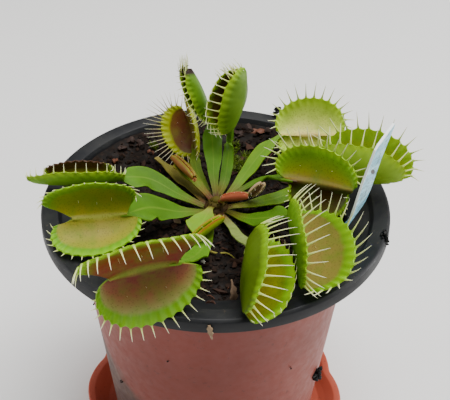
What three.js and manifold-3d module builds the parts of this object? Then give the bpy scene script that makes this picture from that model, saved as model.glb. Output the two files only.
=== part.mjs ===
// A Venus flytrap in a black nursery pot, inside a terracotta-coloured outer pot on a scalloped saucer.
// Millimetres, +Z up. The origin is the middle of the saucer's underside, and -Y is the front.
import * as THREE from 'three';
import { mergeVertices } from 'three/addons/utils/BufferGeometryUtils.js';
import Module from 'manifold-3d';

const wasm = await Module();
wasm.setup();

// Driving dimensions. Tops are measured from the nursery pot's ridge, the highest line of its flared
// rim. So are the heights of the leaves and the label.
const ridgeHeight = 88;
const ridgeRadius = 45;
const seatGap = 0.35;

const saucer = {
  floor: 1.6, rimHeight: 7, footRadius: 33, rimRadius: 41.5, wall: 1.5, lip: 0.6, footRound: 0.8,
  scallops: 12, scallop: 1.9, firstKink: 12,
};
const outerPot = {
  footRadius: 31.3, topRadius: 37.3, wall: 1.1, rimOut: 39.6, rimTop: -5.7, rimDepth: 3.4, floor: 1.4,
  footRing: 3.4, footRise: 1, holes: 5, holeRing: 18, holeRadius: 3,
};
const nurseryPot = {
  wall: 0.8, clearance: 0.55, skirtRadius: 45.6, skirtDepth: 3.4, lipRadius: 40.6, ledgeDrop: 2.7,
  neckDrop: 3.2, rimWall: 1.1, round: 0.6, holes: 6, holeRing: 22, holeRadius: 2.5,
};
const soil = {
  top: -6, bump: 0.45, clearance: 0.42, crownRadius: 8, crownDip: 0.5, round: 0.6,
  rings: [0.14, 0.25, 0.36, 0.48, 0.6, 0.72, 0.84, 0.94, 1],
  bank: {
    start: 20, full: 55, easing: 165, end: 200, toe: 26, rise: 2.7, radius: 39.8, under: -4.05,
    slope: 0.286, thickness: 0.8, shoulder: 34.35,
  },
};
const bark = { seed: 69, chips: 22, nearest: 10, spread: 22, thickness: 1, lift: 0.25, tilt: 0.5 };
const crown = {
  buried: 8,
  tiers: {
    low: { radius: 3.3, top: -3.8 },
    middle: { radius: 2.3, top: -2.4 },
    high: { radius: 1.3, top: -1 },
  },
};
const label = { width: 11.2, thickness: 0.8, point: 32, tipWidth: 3, corner: 1.2, steps: 12 };

const colours = {
  saucer: '#b4492f',
  outerPot: '#a8675c',
  nurseryPot: '#2c2e33',
  soil: '#2e2119',
  label: '#b9d3de',
  crown: '#8f9a55',
  leaf: '#7fae3a',
  redLeaf: '#a5713f',
};

// Solids

function material(colour, roughness) {
  return new THREE.MeshStandardMaterial({ color: colour, roughness, metalness: 0 });
}

// Welds a closed geometry's shared vertices, drops its flat triangles and turns its faces outward.
function toSolid(geometry) {
  const source = geometry.clone();
  source.deleteAttribute('normal');
  source.deleteAttribute('uv');
  const welded = mergeVertices(source, 1e-4);
  const position = welded.getAttribute('position');
  const triangles = [];
  let volume = 0;
  const corners = [new THREE.Vector3(), new THREE.Vector3(), new THREE.Vector3()];
  for (let i = 0; i < welded.index.count; i += 3) {
    const ids = [0, 1, 2].map((k) => welded.index.getX(i + k));
    if (new Set(ids).size < 3) continue;
    triangles.push(...ids);
    ids.forEach((id, k) => corners[k].fromBufferAttribute(position, id));
    volume += corners[0].dot(corners[1].clone().cross(corners[2]));
  }
  if (volume < 0) triangles.reverse();
  const mesh = new wasm.Mesh({
    numProp: 3,
    vertProperties: new Float32Array(position.array),
    triVerts: new Uint32Array(triangles),
  });
  mesh.merge();
  return new wasm.Manifold(mesh);
}

// Keeps a join's largest body, so that no loose scrap is left.
function largestBody(solid) {
  const bodies = solid.decompose();
  return bodies.reduce((best, body) => (body.volume() > best.volume() ? body : best));
}

function toMesh(name, solid, surface) {
  const { numProp, vertProperties, triVerts } = solid.getMesh();
  const geometry = new THREE.BufferGeometry();
  const array = new Float32Array((vertProperties.length / numProp) * 3);
  for (let i = 0; i < array.length / 3; i += 1) {
    for (let k = 0; k < 3; k += 1) array[i * 3 + k] = vertProperties[i * numProp + k];
  }
  geometry.setAttribute('position', new THREE.BufferAttribute(array, 3));
  geometry.setIndex(Array.from(triVerts));
  geometry.computeVertexNormals();
  const mesh = new THREE.Mesh(geometry, surface);
  mesh.name = name;
  return mesh;
}

// A turned shape about +Z from [radius, height] points.
function turned(profile, segments) {
  const points = profile.map(([radius, height]) => new THREE.Vector2(radius, height));
  return new THREE.LatheGeometry(points, segments).rotateX(Math.PI / 2);
}

function moveVertices(geometry, change) {
  const position = geometry.getAttribute('position');
  const point = new THREE.Vector3();
  for (let i = 0; i < position.count; i += 1) {
    point.fromBufferAttribute(position, i);
    change(point, i);
    position.setXYZ(i, point.x, point.y, point.z);
  }
  return geometry;
}

// A thin closed sheet from rows of { top, bottom } points, split into triangles alike on both faces.
function sheet(rows) {
  const across = rows[0].length;
  const along = rows.length;
  const positions = [];
  rows.forEach((row) => row.forEach((cell) => positions.push(...cell.top.toArray())));
  rows.forEach((row) => row.forEach((cell) => positions.push(...cell.bottom.toArray())));
  const top = (i, j) => i * across + j;
  const bottom = (i, j) => top(i, j) + along * across;
  const index = [];
  const quad = (a, b, c, d) => index.push(a, b, c, a, c, d);
  for (let i = 0; i < along - 1; i += 1) {
    for (let j = 0; j < across - 1; j += 1) {
      quad(top(i, j), top(i + 1, j), top(i + 1, j + 1), top(i, j + 1));
      quad(bottom(i, j), bottom(i, j + 1), bottom(i + 1, j + 1), bottom(i + 1, j));
    }
    quad(top(i, 0), bottom(i, 0), bottom(i + 1, 0), top(i + 1, 0));
    quad(top(i, across - 1), top(i + 1, across - 1), bottom(i + 1, across - 1), bottom(i, across - 1));
  }
  for (let j = 0; j < across - 1; j += 1) {
    quad(top(0, j), top(0, j + 1), bottom(0, j + 1), bottom(0, j));
    quad(top(along - 1, j), bottom(along - 1, j), bottom(along - 1, j + 1), top(along - 1, j + 1));
  }
  const geometry = new THREE.BufferGeometry();
  geometry.setAttribute('position', new THREE.BufferAttribute(new Float32Array(positions), 3));
  geometry.setIndex(index);
  return geometry;
}

// Repeatable random numbers from 0 to 1.
function seeded(seed) {
  let state = seed;
  return () => {
    state = (state * 1664525 + 1013904223) % 4294967296;
    return state / 4294967296;
  };
}

const vector = ([x, y, z]) => new THREE.Vector3(x, y, z);
const aboveRim = ([x, y, z]) => new THREE.Vector3(x, y, z + ridgeHeight);
const polar = (radius, degrees, z) => {
  const angle = THREE.MathUtils.degToRad(degrees);
  return aboveRim([radius * Math.cos(angle), radius * Math.sin(angle), z]);
};

// Saucer and pots

const potFoot = saucer.floor + seatGap;
const outerRadiusAt = (z) => {
  const t = (z - potFoot) / (ridgeHeight - potFoot);
  return THREE.MathUtils.lerp(outerPot.footRadius, outerPot.topRadius, t);
};

// Drain holes in a ring through a pot's floor.
function drainHoles({ holes: count, holeRing, holeRadius }, height) {
  const depth = 12;
  const sides = 8;
  const holes = [];
  for (let i = 0; i < count; i += 1) {
    const angle = (i / count) * 2 * Math.PI;
    const hole = new THREE.CylinderGeometry(holeRadius, holeRadius, depth, sides).rotateX(Math.PI / 2);
    hole.translate(holeRing * Math.cos(angle), holeRing * Math.sin(angle), height);
    holes.push(toSolid(hole));
  }
  return wasm.Manifold.union(holes);
}

function makeSaucer() {
  const { floor, rimHeight, footRadius, rimRadius, wall, lip, footRound } = saucer;
  const { scallops, scallop, firstKink } = saucer;
  const profile = [
    [0, 0],
    [footRadius, 0],
    [footRadius + 3 * footRound, footRound],
    [rimRadius - 1.6 * lip, rimHeight - 2 * lip],
    [rimRadius, rimHeight - lip],
    [rimRadius - 0.8 * lip, rimHeight],
    [rimRadius - wall - 1.5 * lip, rimHeight - 0.6 * lip],
    [footRadius + 2.8 * footRound, floor + 0.8 * footRound],
    [footRadius, floor],
    [0, floor],
  ];
  const kink = THREE.MathUtils.degToRad(firstKink);
  const body = moveVertices(turned(profile, 72), (point) => {
    const rise = THREE.MathUtils.clamp(point.z / rimHeight, 0, 1);
    const radius = Math.hypot(point.x, point.y);
    if (radius < footRadius - 1) return;
    const wave = Math.abs(Math.sin((scallops / 2) * (Math.atan2(point.y, point.x) - kink)));
    const scale = 1 + (scallop * (wave - 0.6) * rise) / radius;
    point.x *= scale;
    point.y *= scale;
  });
  return toMesh('saucer', toSolid(body), material(colours.saucer, 0.55));
}

function makeOuterPot() {
  const { wall, rimOut, rimTop, rimDepth, floor, footRing, footRise } = outerPot;
  const top = ridgeHeight + rimTop;
  const underRim = top - rimDepth;
  const inside = potFoot + floor;
  const foot = outerRadiusAt(potFoot);
  const profile = [
    [0, potFoot + footRise],
    [foot - footRing - 0.6 * footRise, potFoot + footRise],
    [foot - footRing, potFoot],
    [foot - 0.5 * footRise, potFoot],
    [outerRadiusAt(potFoot + footRise), potFoot + footRise],
    [outerRadiusAt(underRim), underRim],
    [rimOut, underRim + 0.6],
    [rimOut, top],
    [outerRadiusAt(top) - wall, top],
    [outerRadiusAt(inside) - wall, inside + wall],
    [outerRadiusAt(inside) - 2 * wall, inside + 0.2],
    [0, inside + 0.2],
  ];
  const body = toSolid(turned(profile, 48)).subtract(drainHoles(outerPot, potFoot));
  return toMesh('outer_pot', body, material(colours.outerPot, 0.6));
}

const nurseryRadiusAt = (z) => outerRadiusAt(z) - outerPot.wall - nurseryPot.clearance;
const nurseryFoot = potFoot + outerPot.floor + seatGap + 0.2;
const soilFoot = nurseryFoot + nurseryPot.wall + seatGap;

function makeNurseryPot() {
  const { wall, skirtRadius, skirtDepth, lipRadius, ledgeDrop, neckDrop, rimWall, round } = nurseryPot;
  const rim = ridgeHeight;
  const ledge = rim - ledgeDrop;
  const neck = ledge - neckDrop;
  const outerWall = nurseryRadiusAt(neck);
  const foot = nurseryRadiusAt(nurseryFoot);
  const profile = [
    [0, nurseryFoot],
    [foot - wall, nurseryFoot],
    [foot, nurseryFoot + wall],
    [outerWall, neck],
    [outerWall + 0.6 * wall, neck + wall],
    [lipRadius + 0.5 * wall, ledge - wall],
    [lipRadius + wall, rim - round - 1],
    [ridgeRadius - round, rim - rimWall],
    [skirtRadius - rimWall, rim - skirtDepth],
    [skirtRadius, rim - skirtDepth],
    [skirtRadius - 0.2, rim - round],
    [ridgeRadius - 0.3, rim],
    [lipRadius + 0.5, rim - round],
    [lipRadius - 0.2, ledge],
    [outerWall - 0.5 * wall, ledge - 2 * wall],
    [outerWall - wall, neck],
    [foot - wall, nurseryFoot + wall + round],
    [foot - wall - round, nurseryFoot + wall],
    [0, nurseryFoot + wall],
  ];
  const body = toSolid(turned(profile, 52)).subtract(drainHoles(nurseryPot, nurseryFoot));
  return toMesh('nursery_pot', body, material(colours.nurseryPot, 0.45));
}

// The label is a strip with a pointed foot. It leans outward and bends in a little where it enters the
// soil.
const labelPath = [
  [25.2, -7.4, -24], [30, -10.7, -6], [33.9, -13.5, 4], [35.7, -16.6, 21], [36.8, -18.4, 31],
];
const labelAcross = vector([0.5, 0.87, 0]);

function labelSolid(grow) {
  const { width, thickness, point, tipWidth, corner, steps } = label;
  const curve = new THREE.CatmullRomCurve3(labelPath.map(aboveRim));
  const length = curve.getLength();
  const rows = [];
  const addRow = (distance, cut) => {
    const centre = curve.getPointAt(distance / length);
    const forward = curve.getTangentAt(distance / length);
    const across = labelAcross.clone().projectOnPlane(forward).normalize();
    const normal = new THREE.Vector3().crossVectors(across, forward);
    const half = THREE.MathUtils.lerp(tipWidth, width, Math.min(1, distance / point)) / 2 - cut + grow;
    if (distance === 0) centre.addScaledVector(forward, -grow);
    rows.push([-1, 0, 1].map((k) => {
      const middle = centre.clone().addScaledVector(across, k * half);
      return {
        top: middle.clone().addScaledVector(normal, thickness / 2 + grow),
        bottom: middle.clone().addScaledVector(normal, -thickness / 2 - grow),
      };
    }));
  };
  for (let i = 0; i <= steps; i += 1) addRow((i / steps) * (length - corner), 0);
  addRow(length, corner);
  return toSolid(sheet(rows));
}

// How far the soil is banked at an angle about the axis, from 0 to 1.
function bankAt(angle) {
  const { start, full, easing, end } = soil.bank;
  const degrees = (THREE.MathUtils.radToDeg(angle) + 360) % 360;
  if (degrees < full) return THREE.MathUtils.smoothstep(degrees, start, full);
  return 1 - THREE.MathUtils.smoothstep(degrees, easing, end);
}

// The soil fills the nursery pot. Behind the plant it is banked up over the pot's ledge. Its top is
// rough, with chips of bark in it, and has plain holes for the crown and the label's foot.
function makeSoil() {
  const { top, bump, clearance, crownRadius, crownDip, round, rings, bank } = soil;
  const inner = (z) => nurseryRadiusAt(z) - nurseryPot.wall - clearance;
  const surface = ridgeHeight + top;
  const edge = inner(surface);
  const foot = inner(soilFoot) - round;
  const { lerp: mix, smoothstep } = THREE.MathUtils;
  const rise = (radius) => bank.rise * smoothstep(radius, bank.toe, edge);
  const onLedge = (radius) => ridgeHeight + bank.under + bank.slope * (radius - edge);
  // Each row is [radius, height, roughness]. The bank grows up past the ledge and then out over it.
  const profileAt = (banked) => {
    const up = smoothstep(banked, 0, 0.2);
    const lip = mix(edge, bank.radius, smoothstep(banked, 0.3, 1));
    return [
      [0, surface, 1],
      ...rings.map((share) => [edge * share, surface + up * rise(edge * share), 1]),
      [lip, mix(surface, onLedge(lip) + bank.thickness, up), mix(1, 0.3, up)],
      [lip, mix(surface - 0.2, onLedge(lip), up), 1 - up],
      [mix(edge, bank.shoulder, up), mix(surface - 0.4, onLedge(bank.shoulder), up), 1 - up],
      [inner(surface - 2), surface - 2, 0],
      [foot, soilFoot + round, 0],
      [foot - 2 * round, soilFoot, 0],
      [0, soilFoot, 0],
    ];
  };
  const coarse = (x, y) => Math.sin(0.83 * x + 0.4 * y) * Math.cos(0.71 * y - 0.3 * x);
  const lumps = (x, y) => coarse(x, y) + 0.6 * Math.sin(1.9 * x - 1.3 * y);
  const flat = profileAt(0);
  const ground = moveVertices(turned(flat, 36), (point, i) => {
    const angle = Math.atan2(point.y, point.x);
    const [radius, height, roughness] = profileAt(bankAt(angle))[i % flat.length];
    point.set(radius * Math.cos(angle), radius * Math.sin(angle), height);
    const dent = radius < crownRadius ? -crownDip : bump * lumps(point.x, point.y);
    point.z += roughness * dent;
  });
  const random = seeded(bark.seed);
  const chips = [];
  while (chips.length < bark.chips) {
    const distance = bark.nearest + bark.spread * Math.sqrt(random());
    const angle = 2 * Math.PI * random();
    const chip = new THREE.BoxGeometry(1.6 + 2.6 * random(), 1.2 + random(), bark.thickness);
    chip.rotateX(bark.tilt * (random() - 0.5));
    chip.rotateZ(2 * Math.PI * random());
    const height = surface + bankAt(angle) * rise(distance) + bark.lift;
    chip.translate(distance * Math.cos(angle), distance * Math.sin(angle), height);
    chips.push(toSolid(chip));
  }
  const socketRadius = crown.tiers.low.radius + seatGap;
  const socketDepth = crown.buried + seatGap;
  const socket = new THREE.CylinderGeometry(socketRadius, socketRadius, 2 * socketDepth, 20);
  socket.rotateX(Math.PI / 2).translate(0, 0, surface);
  const rough = wasm.Manifold.union([toSolid(ground), ...chips]);
  const body = rough.subtract(toSolid(socket)).subtract(labelSolid(seatGap));
  return toMesh('soil', largestBody(body), material(colours.soil, 0.95));
}

// The crown is a stubby stem in three steps, the oldest leaves round the lowest one.
function makeCrown() {
  const { low, middle, high } = crown.tiers;
  const foot = ridgeHeight + soil.top - crown.buried;
  const profile = [
    [0, foot],
    [low.radius - 1.2, foot],
    [low.radius, foot + 1.4],
    [low.radius, ridgeHeight + low.top],
    [middle.radius, ridgeHeight + low.top],
    [middle.radius, ridgeHeight + middle.top],
    [high.radius, ridgeHeight + middle.top],
    [high.radius, ridgeHeight + high.top - 0.5],
    [0, ridgeHeight + high.top],
  ];
  return toMesh('crown', toSolid(turned(profile, 18)), material(colours.crown, 0.6));
}

// Leaves. Each is one solid: a winged stalk that widens and then narrows to a neck, and a trap whose
// two lobes rise from the midrib between neck and tip, with a spine on every step of their margins.
// A lobe is given by the way it rises from the middle of the midrib to the middle of its margin.

// A margin is most of an ellipse: it starts marginStart radians below the ellipse's long axis, which
// lies marginSag of its half height above the midrib.
const marginStart = 0.25;
const marginSag = 0.45;
const bladeHalf = 0.35;
const ribHalf = 0.65;
const wingHalf = 0.32;
const neckHalf = 0.7;
const baseHalf = { low: 0.95, middle: 0.8, high: 0.65 };
const stalkGap = 0.65;
const stalkDrop = 0.4;
const spineRoot = 0.75;
const spinePlaces = [[0.2, 0.7], [0.45, 0.94]];
const innerColumns = [-0.72, -0.36, 0, 0.36, 0.72];
const fewColumns = [-0.6, 0, 0.6];

// The trap's mid-surface: u runs from neck to tip, v from one margin (-1) over the midrib to the other.
function trapSurface(leaf) {
  const neck = aboveRim(leaf.neck);
  const tip = aboveRim(leaf.tip);
  const along = tip.clone().sub(neck);
  const length = along.length();
  along.normalize();
  const middle = neck.clone().add(tip).multiplyScalar(0.5);
  const rises = leaf.lobes.map((lobe) => vector(lobe.rise));
  const halfway = rises[0].clone().normalize().add(rises[1].clone().normalize()).normalize();
  const open = leaf.wideOpen ? halfway.negate() : halfway;
  const inward = rises.map((rise, side) => {
    const normal = new THREE.Vector3().crossVectors(along, rise).normalize();
    return normal.dot(open) > 0 ? normal : normal.negate();
  });
  const point = (u, v) => {
    const side = v < 0 ? 0 : 1;
    const lobe = leaf.lobes[side];
    const reach = Math.abs(v);
    const turn = -marginStart + (Math.PI + 2 * marginStart) * u;
    const marginAlong = (-Math.cos(turn) * lobe.width) / 2 + (lobe.slip ?? 0);
    const ribAlong = length * (u - 0.5);
    const sag = lobe.sag ?? marginSag;
    const height = ((Math.sin(turn) + sag) / (1 + sag) + (lobe.skew ?? 0) * (0.5 - u)) * reach;
    const arch = Math.sin(Math.PI * u);
    const belly = leaf.belly * Math.sin(Math.PI * reach) * (0.35 + 0.65 * arch);
    return middle
      .clone()
      .addScaledVector(along, THREE.MathUtils.lerp(ribAlong, marginAlong, reach))
      .addScaledVector(rises[side], height)
      .addScaledVector(open, -leaf.keel * arch * (1 - reach))
      .addScaledVector(inward[side], -belly + leaf.curl * arch * reach ** 3);
  };
  return { point, open, inward };
}

function surfaceNormal(trap, u, v) {
  if (v === 0) return trap.open;
  const step = 0.02;
  const side = v < 0 ? 0 : 1;
  const du = trap.point(Math.min(u + step, 1), v).sub(trap.point(Math.max(u - step, 0), v));
  const near = side === 0 ? Math.min(v + step, 0) : Math.max(v - step, 0);
  const far = side === 0 ? Math.max(v - step, -1) : Math.min(v + step, 1);
  const dv = trap.point(u, far).sub(trap.point(u, near));
  const normal = du.cross(dv).normalize();
  return normal.dot(trap.inward[side]) > 0 ? normal : normal.negate();
}

// A spine tapers from its root on the margin to a point, leaning toward the other lobe.
function spineTip(leaf, trap, side, u) {
  const lobe = leaf.lobes[side];
  const edge = side === 0 ? -1 : 1;
  const root = trap.point(u, edge);
  const ahead = trap.point(Math.min(u + 0.03, 1), edge);
  const behind = trap.point(Math.max(u - 0.03, 0), edge);
  const tangent = ahead.sub(behind).normalize();
  const outward = root.clone().sub(trap.point(u, edge * 0.8));
  outward.addScaledVector(tangent, -outward.dot(tangent)).normalize();
  const lean = THREE.MathUtils.degToRad(lobe.lean);
  outward.multiplyScalar(Math.cos(lean)).addScaledVector(trap.inward[side], Math.sin(lean)).normalize();
  const length = lobe.spines * (0.55 + 0.45 * Math.sin(Math.PI * u));
  return root.addScaledVector(outward, length);
}

// The trap as one closed sheet. Along each margin every cell holds two spines, each a pyramid on a
// narrow step of the edge; the second lobe's spines stand between the first one's, so that they mesh.
function trapBlade(leaf, trap) {
  const cells = leaf.cells;
  const inner = leaf.small ? fewColumns : innerColumns;
  const positions = [];
  const index = [];
  const add = (point) => positions.push(...point.toArray()) / 3 - 1;
  const facePair = (u, v) => {
    const middle = trap.point(u, v);
    const normal = surfaceNormal(trap, u, v);
    const half = v === 0 ? ribHalf : bladeHalf;
    return [1, -1].map((way) => add(middle.clone().addScaledVector(normal, way * half)));
  };
  const quad = (a, b, c, d) => index.push(a, b, c, a, c, d);
  const fan = (corner, rim, flip) => {
    for (let k = 0; k < rim.length - 1; k += 1) {
      index.push(corner, ...(flip ? [rim[k + 1], rim[k]] : [rim[k], rim[k + 1]]));
    }
  };
  const grid = [];
  for (let i = 0; i <= cells; i += 1) grid.push(inner.map((v) => facePair(i / cells, v)));
  for (let i = 0; i < cells; i += 1) {
    for (let j = 0; j < inner.length - 1; j += 1) {
      quad(grid[i][j][0], grid[i + 1][j][0], grid[i + 1][j + 1][0], grid[i][j + 1][0]);
      quad(grid[i][j][1], grid[i][j + 1][1], grid[i + 1][j + 1][1], grid[i + 1][j][1]);
    }
  }
  const ends = [[], []];
  [0, 1].forEach((side) => {
    const edge = side === 0 ? -1 : 1;
    const column = side === 0 ? 0 : inner.length - 1;
    const lobe = leaf.lobes[side];
    const root = leaf.small ? spineRoot / 2 : spineRoot;
    const rootHalf = root / 2 / (lobe.width + vector(lobe.rise).length());
    let last = facePair(0, edge);
    ends[0][side] = last;
    for (let i = 0; i < cells; i += 1) {
      const margin = [last];
      const tips = [];
      spinePlaces[side].forEach((place) => {
        const u = (i + place) / cells;
        margin.push(facePair(u - rootHalf, edge), facePair(u + rootHalf, edge));
        tips.push(add(spineTip(leaf, trap, side, u)));
      });
      margin.push(facePair((i + 1) / cells, edge));
      last = margin[margin.length - 1];
      [0, 1].forEach((face) => {
        const near = grid[i][column][face];
        const next = grid[i + 1][column][face];
        const rim = margin.map((pair) => pair[face]);
        const flip = (side === 1) !== (face === 1);
        fan(near, rim.slice(0, 4), flip);
        index.push(near, ...(flip ? [next, rim[3]] : [rim[3], next]));
        fan(next, rim.slice(3), flip);
      });
      for (let k = 0; k < margin.length - 1; k += 1) {
        const loop = [margin[k][0], margin[k + 1][0], margin[k + 1][1], margin[k][1]];
        if (side === 0) loop.reverse();
        if (k % 2 === 0) quad(...loop);
        else loop.forEach((corner, n) => index.push(corner, loop[(n + 1) % 4], tips[(k - 1) / 2]));
      }
    }
    ends[1][side] = last;
  });
  [0, cells].forEach((i, end) => {
    const columns = [ends[end][0], ...grid[i], ends[end][1]];
    for (let j = 0; j < columns.length - 1; j += 1) {
      const loop = [columns[j][0], columns[j + 1][0], columns[j + 1][1], columns[j][1]];
      if (end === 1) loop.reverse();
      quad(...loop);
    }
  });
  const geometry = new THREE.BufferGeometry();
  geometry.setAttribute('position', new THREE.BufferAttribute(new Float32Array(positions), 3));
  geometry.setIndex(index);
  return toSolid(geometry);
}

// The stalk leaves the crown a gap away from its tier's step. Across it are three points, high along
// the middle and thin at the two wings.
function stalk(leaf, trap) {
  const tier = crown.tiers[leaf.tier];
  const base = polar(tier.radius + stalkGap, leaf.azimuth, tier.top - stalkDrop);
  const straight = trap && !leaf.folded;
  const end = straight ? trap.point(0.12, 0) : aboveRim(leaf.neck);
  const bends = straight ? [...leaf.via, leaf.neck] : leaf.via;
  const curve = new THREE.CatmullRomCurve3([base, ...bends.map(aboveRim), end]);
  const steps = leaf.small ? 7 : 10;
  const up = vector(leaf.up ?? [0, 0, 1]).normalize();
  const rows = [];
  for (let i = 0; i <= steps; i += 1) {
    const share = i / steps;
    const centre = curve.getPointAt(share);
    const forward = curve.getTangentAt(share);
    const facing = up.clone().lerp(new THREE.Vector3(0, 0, 1), 1 - Math.min(1, 3 * share));
    const sideways = new THREE.Vector3().crossVectors(facing, forward).normalize();
    const face = new THREE.Vector3().crossVectors(forward, sideways).normalize();
    const half = stalkHalfWidth(leaf, share);
    rows.push([-1, 0, 1].map((k) => {
      const middle = centre.clone().addScaledVector(sideways, k * half);
      middle.addScaledVector(face, Math.abs(k) * leaf.trough * half);
      return {
        top: middle.clone().addScaledVector(face, wingHalf),
        bottom: middle.clone().addScaledVector(face, k === 0 ? -ribHalf : -wingHalf),
      };
    }));
  }
  return toSolid(sheet(rows));
}

function stalkHalfWidth(leaf, share) {
  const { smoothstep, lerp } = THREE.MathUtils;
  const { widest = 0.68, narrow = 0.9, wide } = leaf;
  if (share < widest) return lerp(baseHalf[leaf.tier], wide / 2, smoothstep(share, 0, widest));
  return lerp(wide / 2, neckHalf, smoothstep(share, widest, narrow));
}

function makeLeaf(leaf) {
  const surface = material(colours[leaf.colour ?? 'leaf'], 0.5);
  const trap = leaf.lobes ? trapSurface(leaf) : null;
  const pieces = [stalk(leaf, trap)];
  if (trap) pieces.push(trapBlade(leaf, trap));
  return toMesh(leaf.name, largestBody(wasm.Manifold.union(pieces)), surface);
}

const mature = { belly: 1.3, keel: 1.2, curl: 0.8, trough: 0.15, cells: 8, tier: 'low' };
const young = { belly: 0.4, keel: 0.4, curl: 0.2, trough: 0.2, cells: 3, tier: 'high', small: true };

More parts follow.
